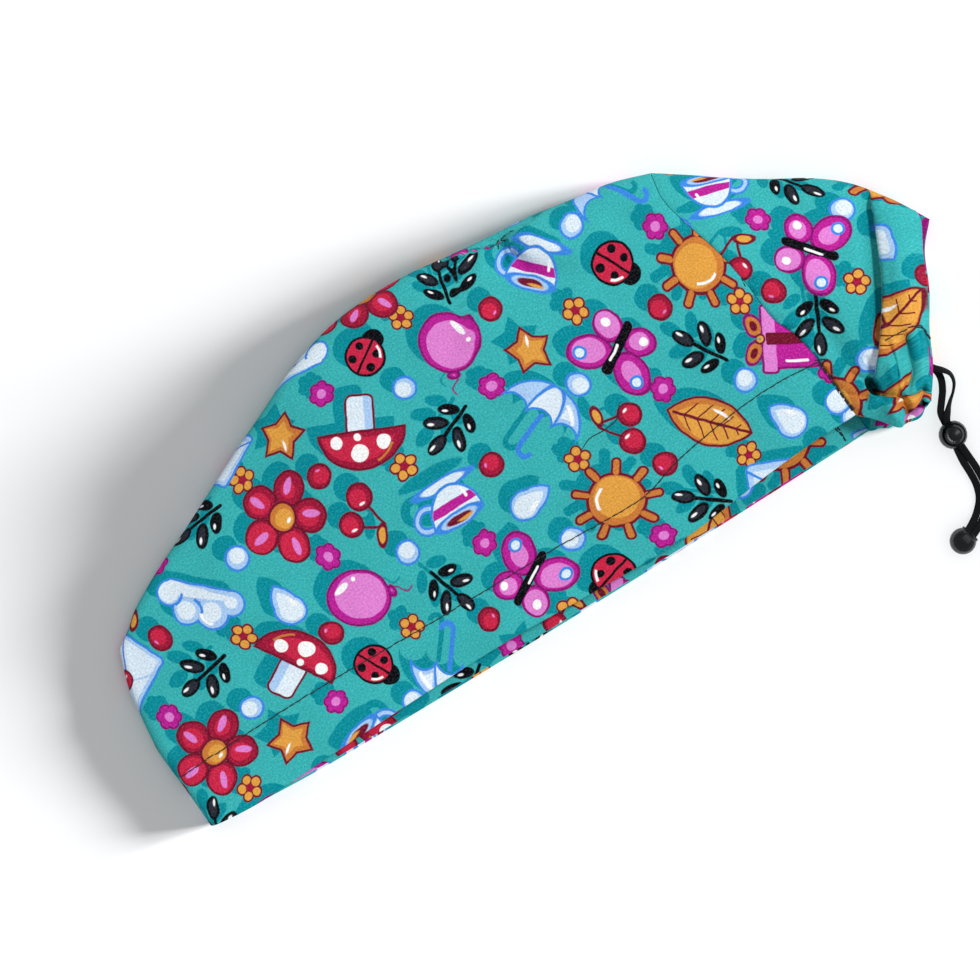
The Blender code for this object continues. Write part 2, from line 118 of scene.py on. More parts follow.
FAR_CASING = [(300.9, -9.4), (295.7, -11.4), (291, -11.3), (284.3, -8.8), (277, -6.2)]

# Height of the near sheet over the floor. Columns: place from the fold (0) to the ear seam
# (1), then shares of PUFF at the edge, a quarter up, half way up, three quarters up, crown.
EAR_SECTION = (1.00, 0.46, 0.74, 0.95, 0.85, 0.34)
FRONT_SECTIONS = [
    (0.00, 0.21, 0.21, 0.21, 0.20, 0.18),
    (0.12, 0.27, 0.35, 0.41, 0.38, 0.23),
    (0.30, 0.32, 0.49, 0.64, 0.60, 0.29),
    (0.50, 0.38, 0.62, 0.84, 0.79, 0.33),
    (0.70, 0.43, 0.71, 0.97, 0.91, 0.35),
    (0.88, 0.46, 0.75, 1.00, 0.90, 0.35),
    EAR_SECTION,
]
BACK_SECTIONS = [
    (0.00, 0.56, 0.56, 0.46, 0.36, 0.26),
    (0.25, 0.60, 0.66, 0.67, 0.55, 0.30),
    (0.50, 0.58, 0.70, 0.80, 0.70, 0.32),
    (0.75, 0.52, 0.72, 0.90, 0.80, 0.33),
    EAR_SECTION,
]

# Soft folds and dents. Columns: start x, y, end x, y, half width, rise.
CREASES = [
    (197.9, 125.2, 202.9, 104.3, 4.3, -3.0),
    (192.2, 121.3, 171.4, 91.3, 6.5, 1.6),
    (203.6, 121.3, 224.4, 99.1, 6.5, 2.0),
    (193.8, 117.6, 212.6, 100.2, 3.5, -1.3),
    (235.2, 114.8, 252.7, 83.5, 5.9, -1.8),
    (320.9, 62.6, 297.4, 19.6, 4.0, -4.4),
    (327.6, 52.2, 306.4, 17.0, 5.4, 3.0),
    (282.2, 10.4, 280.6, 54.8, 4.9, -2.6),
    (97.4, 101.7, 73.9, 54.8, 16.2, -1.1),
    (36.0, 60.0, 58.0, 24.0, 9.0, -0.7),
    (150.0, 28.0, 190.0, 60.0, 12.0, 0.8),
    (225.0, 12.0, 232.0, 42.0, 5.0, -0.8),
    (290.0, 60.0, 284.0, 28.0, 5.0, 0.7),
    (274.0, 70.0, 284.0, 34.0, 4.0, -0.6),
    (300.2, 17.9, 292.0, -1.2, 3.2, 3.8),
    (309.4, 14.2, 299.4, -1.6, 3.0, 3.4),
    (286.2, 1.2, 286.1, -11.1, 3.2, 2.8),
    (196.0, 112.0, 214.0, 105.0, 5.0, -1.0),
]

# Narrow tucks with a sharp bottom. Columns: line, half width, rise, cloth hidden in the tuck.
TUCKS = [
    ([(305.8, 18.5), (302.4, 9.2), (299.5, 2.6), (294.4, -2.7)], 1.5, -4.4, 9.0),
    ([(312.2, 13.5), (309.1, 5.0), (303.0, -3.9)], 1.2, -3.0, 7.0),
    ([(284.6, 3.4), (289.5, -0.5), (294.6, -4.4)], 1.4, -4.6, 8.0),
    ([(293.6, -2.9), (299.0, -4.3), (303.5, -7.7)], 1.3, -3.6, 6.0),
    ([(293.2, -3.3), (291.2, -7.9), (288.0, -11.0)], 1.2, -3.0, 5.0),
    ([(297.6, 17.2), (296.0, 9.0), (293.4, 3.0)], 1.0, -1.6, 0.0),
    ([(309.6, 16.0), (307.4, 10.6), (304.6, 6.4)], 1.0, -1.4, 0.0),
    ([(286.1, 6.3), (283.4, 11.5), (280.0, 16.2)], 1.2, -1.6, 0.0),
    ([(283.0, 4.1), (278.1, 7.2), (275.4, 10.2)], 1.2, -1.2, 0.0),
    ([(287.6, 8.0), (288.4, 12.6), (288.9, 17.4)], 1.0, -1.4, 0.0),
    ([(200.8, 120.8), (198.6, 117.2), (197.6, 112.5)], 0.9, -1.9, 0.0),
    ([(201.6, 120.6), (202.2, 116.4), (204.4, 112.0)], 0.8, -1.6, 0.0),
    ([(199.8, 121.2), (195.4, 118.6), (190.0, 117.6)], 0.9, -1.5, 0.0),
    ([(203.0, 120.8), (207.4, 117.4), (213.0, 115.8)], 0.9, -1.4, 0.0),
    ([(200.2, 120.9), (196.4, 115.6), (191.6, 110.6)], 1.0, -1.2, 0.0),
]
TUCK_SLIDE_REACH = 6.0

# The dark gap between the lap and the casing: centre, half sizes along x and y, depth
GAP_AT, GAP_SIZE, GAP_DEPTH = (285.3, 6.4), (1.9, 3.3), 12.0

# Sharp folds where cloth laps over cloth. Columns: line, rise of the side on the left of the
# line's travel (or, if negative, of the side on its right), cloth hidden under the lap, half
# width of the roll.
LAPS = [
    (
        [
            (325.0, 72.0), (320.3, 59.7), (314.8, 48.3), (309.0, 37.1), (302.6, 27.0),
            (295.5, 17.9), (289.1, 10.4), (284.1, 5.9),
        ],
        3.8, 7.0, 1.8,
    ),
    (
        [
            (331.0, 62.5), (333.0, 56.0), (333.2, 51.0), (331.9, 46.5), (328.9, 41.0),
            (325.0, 33.8), (320.8, 25.8), (316.6, 17.8), (312.4, 10.3),
        ],
        -1.4, 6.0, 1.0,
    ),
    (
        [
            (178.0, 127.0), (186.0, 125.2), (193.0, 123.0), (198.2, 121.8), (204.0, 121.2),
            (208.5, 121.2), (212.7, 121.7), (222.0, 122.6),
        ],
        -1.0, 15.0, 0.8,
    ),
]
LAP_OVERHANG = 0.95
LAP_REACH = 10.0
LAP_SLIDE_REACH = 22.0

PUCKER_AT = (201.8, 121.5)
PUCKER_REACH = 11.0
PUCKER_FOLDS = 11
PUCKER_RISE = 1.0

# Threads
STITCH_PITCH = 2.9
STITCH_LENGTH = 2.75
HEM_LINE = [
    (0.3, 20.7), (55.5, 21.1), (103.1, 19.5), (160.6, 18.1), (194.8, 16.9), (211.6, 21.2),
    (237.3, 24.9), (254.1, 25.8), (273.4, 24.2),
]
FAR_HEM_LINE = [(1.0, 19.5), (60, 17.5), (130, 15.8), (200, 15.4), (273, 15)]
CASING_LINE = [
    (296.9, 18.1), (302.0, 17.7), (306.7, 17.3), (310.7, 15.9), (311.4, 13.8), (312.2, 9.5),
]
BAR_TACK_LINE = [(273.3, 24.4), (274.2, 12.5), (275.0, 2.6)]
TACK_END = [(272.6, 25.2), (276.4, 23.4)]
FAR_TACK_LINE = [(267.5, 0.6), (267.9, -2.4), (268.0, -5.6)]
PUCKER_THREADS = [
    [(196.2, 121.4), (199.6, 121.8), (203.6, 122.8), (207.2, 122.2)],
    [(198.4, 119.4), (200.6, 122.2), (203.0, 121.0)],
]
SEAM_END = [(265.4, 64.4), (265.0, 61.0)]
LOOSE_THREAD = [(205.4, 50.2), (201.5, 45.6), (195.6, 44.6), (189.6, 44.8), (185.0, 43.0)]
LOOSE_RADIUS = 0.2

# Rows of stitches, by piece. Columns: line, shift along x and y, pitch, length, radius, how far
# a stitch slips aside, seed, and whether the row is on the far side.
SEWN = {
    "hem_stitches": [
        (HEM_LINE, 0, 0, STITCH_PITCH, STITCH_LENGTH, 0.24, 0.072, 3, False),
        (FAR_HEM_LINE, 0, 0, STITCH_PITCH, STITCH_LENGTH, 0.24, 0.072, 4, True),
    ],
    "casing_stitches": [
        (CASING_LINE, 0, 0, 2.3, 2.25, 0.24, 0.12, 5, False),
        (CASING_LINE[2:], 0.2, -0.5, 2.7, 2.3, 0.2, 0.24, 6, False),
    ],
    "ear_seam_tack": [
        (BAR_TACK_LINE, -0.35, 0, 2.6, 2.3, 0.24, 0.18, 7, False),
        (BAR_TACK_LINE, 0, 0, 2.6, 2.3, 0.24, 0.18, 8, False),
        (BAR_TACK_LINE, 0.4, 0, 2.6, 2.3, 0.24, 0.18, 9, False),
        (TACK_END, 0, 0, 1.3, 2.0, 0.22, 0.18, 12, False),
        (FAR_TACK_LINE, -0.3, 0, 1.9, 1.8, 0.24, 0.15, 16, False),
        (FAR_TACK_LINE, 0.3, 0, 1.9, 1.8, 0.24, 0.15, 17, False),
    ],
    "pucker_and_loose_thread": [
        (PUCKER_THREADS[0], 0, 0, 2.0, 1.8, 0.2, 0.15, 20, False),
        (PUCKER_THREADS[1], 0, 0, 2.0, 1.8, 0.2, 0.15, 21, False),
        (SEAM_END, 0, 0, 1.6, 1.5, 0.18, 0.12, 25, False),
    ],
}

# Gathers of the back panel
GATHERS = 4
GATHER_RISE = 1.1
GATHER_LEAN = -0.6
GATHER_LOBE = 1.0
FAR_GATHER_SHARE = 0.4
GATHER_REACH = 30.0

# Drawcord, in metres from the buttonhole's mouth, with z from the floor
BUTTONHOLE_ALONG_FOLD = 0.18
STRAIGHT_LEAD = [
    (-0.0016, 0.0021, 0.0068), (0.0000, 0.0000, 0.0066), (0.0009, -0.0022, 0.0058),
    (0.0008, -0.0052, 0.0046), (-0.0008, -0.0088, 0.0038), (-0.0034, -0.0122, 0.0038),
    (-0.0058, -0.0154, 0.0045),
]
BOW_LEAD = [
    (-0.0016, 0.0021, 0.0093), (0.0004, -0.0005, 0.0093), (0.0026, -0.0026, 0.0086),
    (0.0043, -0.0052, 0.0070), (0.0041, -0.0084, 0.0052), (0.0022, -0.0112, 0.0040),
    (-0.0006, -0.0136, 0.0038), (-0.0033, -0.0162, 0.0044),
]
SHARED_ROUTE = [
    (-0.0061, -0.0192, 0.0052), (-0.0065, -0.0244, 0.0052), (-0.0069, -0.0297, 0.0051),
    (-0.0069, -0.0346, 0.0037), (-0.0066, -0.0396, 0.0016), (-0.0070, -0.0446, 0.0011),
    (-0.0089, -0.0497, 0.0011), (-0.0127, -0.0539, 0.0012), (-0.0172, -0.0566, 0.0030),
    (-0.0210, -0.0580, 0.0046), (-0.0239, -0.0587, 0.0049),
]
CORD_WIDTH = 0.0027
CORD_THICKNESS = 0.0010
CORD_LIFT = 0.0002
EDGE_RIB, EDGE_RIB_DEPTH = 0.0009, 0.018
FITTINGS = ["cord_lock_shell", "cord_lock_plunger", "cord_end_ball"]

# How the two strands lie along their shared route: half their distance apart sideways and up
STRANDS_ASIDE = [
    0.0003, 0.0004, 0.0009, 0.0013, 0.0014, 0.0014, 0.0014, 0.0014, 0.0013, 0.0012, 0.0010,
]
STRANDS_STACKED = [0.0006, 0.0006, 0.0005, 0.0002, 0, 0, 0, 0, 0.0001, 0.0003, 0.0004]

# Twist of each strand in degrees, from the buttonhole to the end ball
STRAIGHT_TWIST = [0, 8, 10, 6, 0, 0, 0, 0]
BOW_TWIST = [10, 32, 55, 68, 80, 55, 8, 0, 0, 0, 0, 0, 0, 0, 0, 0, 0, 0, 0]

# Where the plan lies in the frame, in metres
PLAN_ORIGIN = (-0.1671544, -0.0593863)

# Picture: the camera looks straight down, turned so that the band rises to the right
PICTURE_WIDTH = 0.3528
PICTURE_CENTRE = (-0.0173, -0.0111)
PICTURE_TURN = math.radians(-32.34)
PICTURE_LEVEL = 0.006
CAMERA_DISTANCE = 1.3
SENSOR_WIDTH = 36.0


def eased(t):
    """A smooth step from 0 to 1."""
    t = np.clip(t, 0.0, 1.0)
    return t * t * (3 - 2 * t)


def rounded(distance, radius):
    """How far a sheet has opened at this distance from its fold."""
    t = np.clip(distance / radius, 0.0, 1.0)
    return np.sqrt(1 - (1 - t) ** 2)


def bell(distance, width):
    """1 at no distance, falling off softly over this width."""
    return np.exp(-((distance / width) ** 2))


def hermite(low, high, slope_low, slope_high, span, t):
    """A smooth value at share t of a span, from the values and slopes at its ends."""
    bend = t * t * (3 - 2 * t)
    return (
        low * (1 - bend)
        + high * bend
        + slope_low * span * t * (1 - t) ** 2
        + slope_high * span * t * t * (t - 1)
    )


class Curve:
    """A smooth curve through rows of numbers, read at shares from 0 to 1."""

    def __init__(self, rows, places=None):
        self.rows = np.array(rows, float)
        if places is None:
            steps = np.linalg.norm(np.diff(self.rows[:, :2], axis=0), axis=1)
            places = np.concatenate([[0.0], np.cumsum(steps)]) / steps.sum()
        self.places = np.array(places, float)
        slopes = np.empty_like(self.rows)
        span = (self.places[2:] - self.places[:-2])[:, None]
        slopes[1:-1] = (self.rows[2:] - self.rows[:-2]) / span
        slopes[0] = (self.rows[1] - self.rows[0]) / (self.places[1] - self.places[0])
        slopes[-1] = (self.rows[-1] - self.rows[-2]) / (self.places[-1] - self.places[-2])
        self.slopes = slopes

    def __call__(self, share):
        share = np.asarray(share, float)
        k = np.clip(np.searchsorted(self.places, share) - 1, 0, len(self.places) - 2)
        span = (self.places[k + 1] - self.places[k])[..., None]
        t = (share[..., None] - self.places[k][..., None]) / span
        ends = (self.rows[k], self.rows[k + 1], self.slopes[k], self.slopes[k + 1])
        return hermite(*ends, span, t)


def patch(rim, fold, crown, ear):
    """The plan place of (u, v): u runs from the fold to the ear seam, v from rim to crown."""

    def at(u, v):
        a, b = u[:, None], v[:, None]
        sides = (1 - b) * rim(u) + b * crown(u) + (1 - a) * fold(v) + a * ear(v)
        corners = (1 - b) * ((1 - a) * rim(0.0) + a * rim(1.0))
        return sides - corners - b * ((1 - a) * crown(0.0) + a * crown(1.0))

    return at


def heights(sections):
    """The near sheet's height at (u, v) in millimetres, from a table of sections."""
    table = np.array(sections)
    across = Curve(table[:, 1:] * PUFF, table[:, 0])
    count = table.shape[1] - 1

    def at(u, v):
        values = across(u)
        slopes = np.gradient(values, axis=1) * (count - 1)
        k = np.clip((v * (count - 1)).astype(int), 0, count - 2)
        t = v * (count - 1) - k
        row = np.arange(len(u))
        ends = (values[row, k], values[row, k + 1], slopes[row, k], slopes[row, k + 1])
        return hermite(*ends, 1 / (count - 1), t)

    return at


def beside(places, line, samples=40):
    """Distance of each place from a line, left of its travel positive, and the share along it."""
    run = Curve(line)(np.linspace(0, 1, samples))
    nearest = np.full(len(places), np.inf)
    signed = np.zeros(len(places))
    share = np.zeros(len(places))
    for k in range(samples - 1):
        step = run[k + 1] - run[k]
        offset = places - run[k]
        t = np.clip(offset @ step / (step @ step), 0, 1)
        gap = offset - t[:, None] * step
        away = np.hypot(gap[:, 0], gap[:, 1])
        closer = away < nearest
        side = np.where(step[0] * offset[:, 1] - step[1] * offset[:, 0] >= 0, 1.0, -1.0)
        nearest = np.where(closer, away, nearest)
        signed = np.where(closer, away * side, signed)
        share = np.where(closer, (k + t) / (samples - 1), share)
    return signed, share


def waves(places, wavelength, seed, count=7):
    """Soft unevenness: waves of about this length in seeded directions, from -1 to 1."""
    rng = np.random.default_rng(seed)
    total = np.zeros(len(places))
    for _ in range(count):
        angle, phase = rng.uniform(0, 2 * math.pi, 2)
        size = 2 * math.pi / (wavelength * rng.uniform(0.7, 1.4))
        along = places @ np.array((math.cos(angle), math.sin(angle)))
        total += np.sin(size * along + phase)
    return total / math.sqrt(count)


def stitch_pull(places, line, seed):
    """How a row of stitches draws the cloth down and puckers it on both sides."""
    away, share = beside(places, line)
    along = share * np.linalg.norm(np.diff(np.array(line, float), axis=0), axis=1).sum()
    ripple = np.sin(2 * math.pi * along / (2 * STITCH_PITCH) + waves(places, 22, seed) * 2)
    strength = 0.55 + 0.45 * waves(places, 35, seed + 1)
    ends = (share > 0.002) & (share < 0.998)
    return np.where(ends, -0.42 * bell(away, 0.7) + 0.16 * ripple * strength * bell(away, 4.0), 0)


def near_relief(places):
    """Rise of the near sheet over its smooth form."""
    rise = 0.42 * waves(places, 46, 11) + 0.13 * waves(places, 17, 12)
    rise += 0.05 * waves(places, 7.5, 13) * (0.5 + 0.5 * waves(places, 60, 14))
    for x0, y0, x1, y1, half_width, height in CREASES:
        start, run = np.array((x0, y0)), np.array((x1 - x0, y1 - y0))
        offset = places - start
        t = np.clip(offset @ run / (run @ run), 0, 1)
        away = np.linalg.norm(offset - t[:, None] * run, axis=1)
        rise += height * bell(away, half_width) * np.sin(math.pi * (0.1 + 0.8 * t))
    arm = places - np.array(PUCKER_AT)
    reach = np.hypot(arm[:, 0], arm[:, 1])
    turn = np.arctan2(arm[:, 1], arm[:, 0])
    folds = np.sign(np.cos(PUCKER_FOLDS * turn)) * np.abs(np.cos(PUCKER_FOLDS * turn)) ** 0.7
    rise += PUCKER_RISE * folds * bell(reach, PUCKER_REACH) * eased(reach / 4)
    rise -= 2.4 * bell(reach, 1.9)
    into = (places - np.array(GAP_AT)) / np.array(GAP_SIZE)
    rise -= GAP_DEPTH * eased((1.3 - np.hypot(into[:, 0], into[:, 1])) / 0.5)
    rise += stitch_pull(places, HEM_LINE, 21)
    rise += stitch_pull(places, CASING_LINE, 31)
    rise += stitch_pull(places, BAR_TACK_LINE, 41)
    return rise


def folds(places):
    """Rise of the laps and tucks, how far they slide the print, and the laps' overhang."""
    rise, slide, push = np.zeros(len(places)), np.zeros(len(places)), np.zeros_like(places)
    for line, height, cloth, half_width in LAPS:
        side = math.copysign(1.0, height)
        away, share = beside(places, line)
        over = away * side
        fade = eased(share / 0.16) * eased((1 - share) / 0.12)
        turn = np.clip(over / (2 * half_width) + 0.5, 0, 1)
        roll = eased(turn)
        low = 0.4 * (1 - roll) * bell(over, 6.0)
        rise += fade * abs(height) * (roll * bell(over, LAP_REACH) - low)
        curve = Curve(line)
        way = curve(np.clip(share + 0.02, 0, 1)) - curve(np.clip(share - 0.02, 0, 1))
        way /= np.linalg.norm(way, axis=1)[:, None]
        back = LAP_OVERHANG * half_width * fade * np.sin(2 * math.pi * turn) * side
        push += back[:, None] * np.column_stack([-way[:, 1], way[:, 0]])
        hidden = 2 * eased((turn - 0.15) / 0.6) - 1
        slide += cloth / 2 * hidden * side * np.exp(-np.abs(away) / LAP_SLIDE_REACH) * eased(
            share / 0.1
        )
    for line, half_width, height, cloth in TUCKS:
        away, share = beside(places, line)
        fade = eased(share / 0.2) * eased((1 - share) / 0.2)
        rise += height * fade * np.exp(-np.abs(away) / half_width)
        slide += cloth / 2 * fade * np.tanh(away / 0.4) * np.exp(-np.abs(away) / TUCK_SLIDE_REACH)
    return rise, slide, push


class Panel:
    """One folded piece of cloth, with a near and a far sheet that meet at fold and crown."""

    def __init__(self, near, far, sections, fold_round, hem_height, hem_wall, gathered):
        self.sheets = {"near": near, "far": far}
        self.height = heights(sections)
        self.fold_round = fold_round
        self.hem_height = hem_height
        self.hem_wall = hem_wall
        self.gathered = gathered
        middle = np.array([0.5])
        ends = [near(np.array([float(end)]), middle)[0] for end in (0, 1)]
        self.length = float(np.linalg.norm(ends[1] - ends[0]))

    def gather(self, side, along, from_rim, place):
        """Rise and sideways shift of the gathers, like waves with round crests."""
        none = np.zeros(len(along))
        if not self.gathered:
            return none, np.zeros_like(place)
        sway = 0.035 * np.sin(9.1 * along + 0.6)
        phase = 2 * math.pi * GATHERS * (along + sway)
        above = np.clip(from_rim - self.hem_height, 0, None)
        fade = np.where(
            from_rim < self.hem_height,
            0.80 + 0.35 * np.sin(math.pi * np.clip(from_rim / self.hem_height, 0, 1)),
            0.72 * (1 - eased(above / GATHER_REACH)) ** 1.4,
        )
        fade *= eased(along / 0.10) * eased((1 - along) / 0.12)
        if side == "near":
            fade *= 1 - 0.92 * eased((along - 0.3) / 0.3)
        else:
            fade *= FAR_GATHER_SHARE
        uneven = 1 + 0.3 * np.sin(5.3 * along + 1.1)
        rise = GATHER_RISE * fade * uneven * np.cos(phase + 0.05 * from_rim)
        rise += 0.35 * fade * np.cos(2.7 * phase + 0.11 * from_rim + 1.0)
        lean = GATHER_LEAN * fade * np.sin(phase + 0.05 * from_rim)
        lobe = GATHER_LOBE * fade * np.cos(phase) * (1 - eased(from_rim / 9))
        shift = np.column_stack([lean, -lobe])
        return rise, shift

    def surface(self, side, u, v, inner):
        """Points of the outer or inner skin in millimetres, and their places on the print."""
        sheet = self.sheets[side]
        tall = np.linalg.norm(sheet(u, np.ones_like(v)) - sheet(u, np.zeros_like(v)), axis=1)
        from_rim = v * tall
        turned = 1 - eased((from_rim - self.hem_height) / HEM_STEP)
        wall = WALL + (self.hem_wall - WALL) * turned
        inset = WALL if inner else 0.0
        along = (inset + u * (self.length - inset)) / self.length
        up = v * (1 - inset / tall)
        place = sheet(along, up)
        height = self.height(along, up)
        to_fold = along * self.length - inset
        to_crown = (1 - up) * tall - inset
        opened = rounded(to_fold, self.fold_round) * rounded(to_crown, CROWN_ROUND)
        half = height / 2 - (wall if inner else 0.0)
        rise, shift = self.gather(side, along, from_rim, place)
        rise = rise * opened
        shift = shift * opened[:, None]
        to_seam = (1 - along) * self.length
        pull = 1 + 0.45 * np.sin(from_rim * 0.85 + np.sin(from_rim * 0.31) * 2)
        dip = 0.5 * bell(to_seam, 0.8) + 0.75 * pull * bell(to_seam, 4.5)
        slide = 0.0
        if side == "near":
            step, slide, push = folds(place)
            shift = shift + push * opened[:, None]
            lift = near_relief(place) + step - dip
            z = height / 2 + (half + lift) * opened + rise
        else:
            z = height / 2 - half * opened + np.clip(0.45 * rise, 0, None)
            z = z + (0.35 + 0.35 * waves(place, 30, 51)) * opened * bell(to_crown - 9, 7)
        turn_down = height / 2 * (1 - opened) * 0.6
        print_at = place + np.column_stack([slide - turn_down * bell(to_fold, 6), turn_down])
        return np.column_stack([place + shift, z]), print_at

    def grid(self, side, us, rows, inner):
        """The skin as arrays of rows by columns, with a denser run of rows at both edges."""
        u, v = [value.ravel() for value in np.meshgrid(us, rows)]
        points, print_at = self.surface(side, u, v, inner)
        shape = (len(rows), len(us))
        return points.reshape(*shape, 3), print_at.reshape(*shape, 2)


def spread(count, foci):
    """Shares from 0 to 1, closer together round each focus."""
    t = np.linspace(0, 1, 4001)
    density = 1 + sum(closer * bell(t - focus, width) for focus, closer, width in foci)
    reached = np.concatenate([[0.0], np.cumsum((density[1:] + density[:-1]) / 2)])
    return np.interp(np.linspace(0, 1, count), reached / reached[-1], t)


def to_world(points):
    """Plan millimetres to the frame's metres."""
    return np.asarray(points) * MM + (*PLAN_ORIGIN, 0.0)


def linked(name, data):
    made = bpy.data.objects.new(name, data)
    bpy.context.scene.collection.objects.link(made)
    return made


def mesh_object(name, vertices, faces, materials, map_name=None, places=None, slots=None):
    """A smooth mesh as an object. With a texture map, its faces are also joined and turned out."""
    data = bpy.data.meshes.new(name)
    data.from_pydata(np.asarray(vertices, float).tolist(), [], faces)
    for material in materials:
        data.materials.append(material)
    if slots is not None:
        data.polygons.foreach_set("material_index", slots.astype(np.int32))
    if places is not None:
        loops = np.empty(len(data.loops), np.int32)
        data.loops.foreach_get("vertex_index", loops)
        layer = data.uv_layers.new(name=map_name)
        layer.data.foreach_set("uv", places[loops].ravel())
        mesh = bmesh.new()
        mesh.from_mesh(data)
        bmesh.ops.remove_doubles(mesh, verts=mesh.verts, dist=1e-6)
        bmesh.ops.recalc_face_normals(mesh, faces=mesh.faces)
        mesh.to_mesh(data)
        mesh.free()
    data.shade_smooth()
    return linked(name, data)


def panel_object(name, panel, us, rows, materials, print_turns):
    """The cloth as one closed mesh: both skins of both sheets, their rims and ear edges."""
    vertices, quads, places, slots = [], [], [], []

    def add_grid(points, print_at, flip, slot_of_row):
        base = sum(len(part) for part in vertices)
        count_rows, count_columns = points.shape[:2]
        vertices.append(points.reshape(-1, 3))
        index = base + np.arange(count_rows * count_columns).reshape(count_rows, count_columns)
        corners = [index[:-1, :-1], index[:-1, 1:], index[1:, 1:], index[1:, :-1]]
        if flip:
            corners = corners[::-1]
        quads.append(np.stack(corners, axis=-1).reshape(-1, 4))
        places.append(print_at.reshape(-1, 2))
        slots.append(np.repeat(slot_of_row, count_columns - 1))

    skins = {(s, i): panel.grid(s, us, rows, i) for s in ("near", "far") for i in (False, True)}
    for inside in (False, True):
        near, far = skins["near", inside][0], skins["far", inside][0]
        far[-1], far[:, 0] = near[-1], near[:, 0]
    first_rim = None
    for side in ("near", "far"):
        turn, shift = print_turns[side]
        spin = np.array([[math.cos(turn), math.sin(turn)], [-math.sin(turn), math.cos(turn)]])
        outer, outer_print = skins[side, False]
        inner, inner_print = skins[side, True]
        outer_print = outer_print @ spin + shift
        inner_print = inner_print @ spin + np.array(shift) + (0, 2 * HEM_HEIGHT)
        flip = side == "far"
        add_grid(outer, outer_print, flip, np.zeros(len(rows) - 1, int))
        tall = np.linalg.norm(inner[-1, :, :2] - inner[0, :, :2], axis=1).mean()
        hemmed = (rows[1:] * tall) < panel.hem_height
        add_grid(inner, inner_print, not flip, np.where(hemmed, 0, 1))
        away = outer[0, :, :2] - outer[1, :, :2]
        away /= np.linalg.norm(away, axis=1)[:, None]
        angles = np.linspace(0, math.pi, RIM_STEPS + 1)
        rim = []
        for angle in angles:
            mix = (1 - math.cos(angle)) / 2
            ring = outer[0] * (1 - mix) + inner[0] * mix
            bulge = np.linalg.norm(outer[0] - inner[0], axis=1) / 2 * math.sin(angle)
            ring[:, :2] += away * bulge[:, None]
            rim.append(ring)
        rim = np.array(rim)
        if first_rim is None:
            first_rim = rim
        rim[:, 0] = first_rim[:, 0]
        rim_print = np.repeat(outer_print[:1], len(angles), axis=0)
        rim_print = rim_print - np.linspace(0, 2, len(angles))[:, None, None] * (0, 1)
        add_grid(rim, rim_print, not flip, np.zeros(RIM_STEPS, int))
        edge = np.stack([outer[:, -1], inner[:, -1]], axis=1)
        edge_print = np.stack([outer_print[:, -1], outer_print[:, -1] + (0.8, 0)], axis=1)
        add_grid(edge, edge_print, flip, np.zeros(len(rows) - 1, int))

    return mesh_object(
        name, to_world(np.concatenate(vertices)), np.concatenate(quads).tolist(), materials,
        "print", np.concatenate(places) * MM, np.concatenate(slots),
    )


def make_panels(materials):
    """The front and back panel."""
    crown, back_crown = Curve(CROWN_SEAM), Curve(BACK_CROWN)
    near_ear, far_ear = Curve(NEAR_EAR), Curve(FAR_EAR)
    gap = np.array((SEAM_GAP, 0.0))

    def behind(curve):
        return lambda share: curve(share) + gap

    front = Panel(
        patch(Curve(NEAR_BRIM), Curve(FRONT_FOLD), crown, near_ear),
        patch(Curve(FAR_BRIM), Curve(FRONT_FOLD), crown, far_ear),
        FRONT_SECTIONS, FRONT_ROUND, HEM_HEIGHT, HEM_WALL, False,
    )
    back_top, back_fold = behind(back_crown), behind(Curve(BACK_FOLD))
    back = Panel(
        patch(behind(Curve(NEAR_CASING)), back_fold, back_top, behind(near_ear)),
        patch(behind(Curve(FAR_CASING)), back_fold, back_top, behind(far_ear)),
        BACK_SECTIONS, BACK_ROUND, CASING_HEIGHT, CASING_WALL, True,
    )
    front_cloth = panel_object(
        "front_cloth", front, spread(FRONT_COLUMNS, FRONT_COLUMN_FOCI),
        spread(FRONT_ROWS, FRONT_ROW_FOCI), materials, FRONT_PRINT,
    )
    back_cloth = panel_object(
        "back_cloth", back, spread(BACK_COLUMNS, BACK_COLUMN_FOCI),
        spread(BACK_ROWS, BACK_ROW_FOCI), materials, BACK_PRINT,
    )
    return front_cloth, back_cloth


def tree_of(*objects):
    """A search tree of several meshes together."""
    vertices, polygons = [], []
    for made in objects:
        base = len(vertices)
        vertices.extend(v.co[:] for v in made.data.vertices)
        polygons.extend([base + i for i in p.vertices] for p in made.data.polygons)
    return BVHTree.FromPolygons(vertices, polygons)


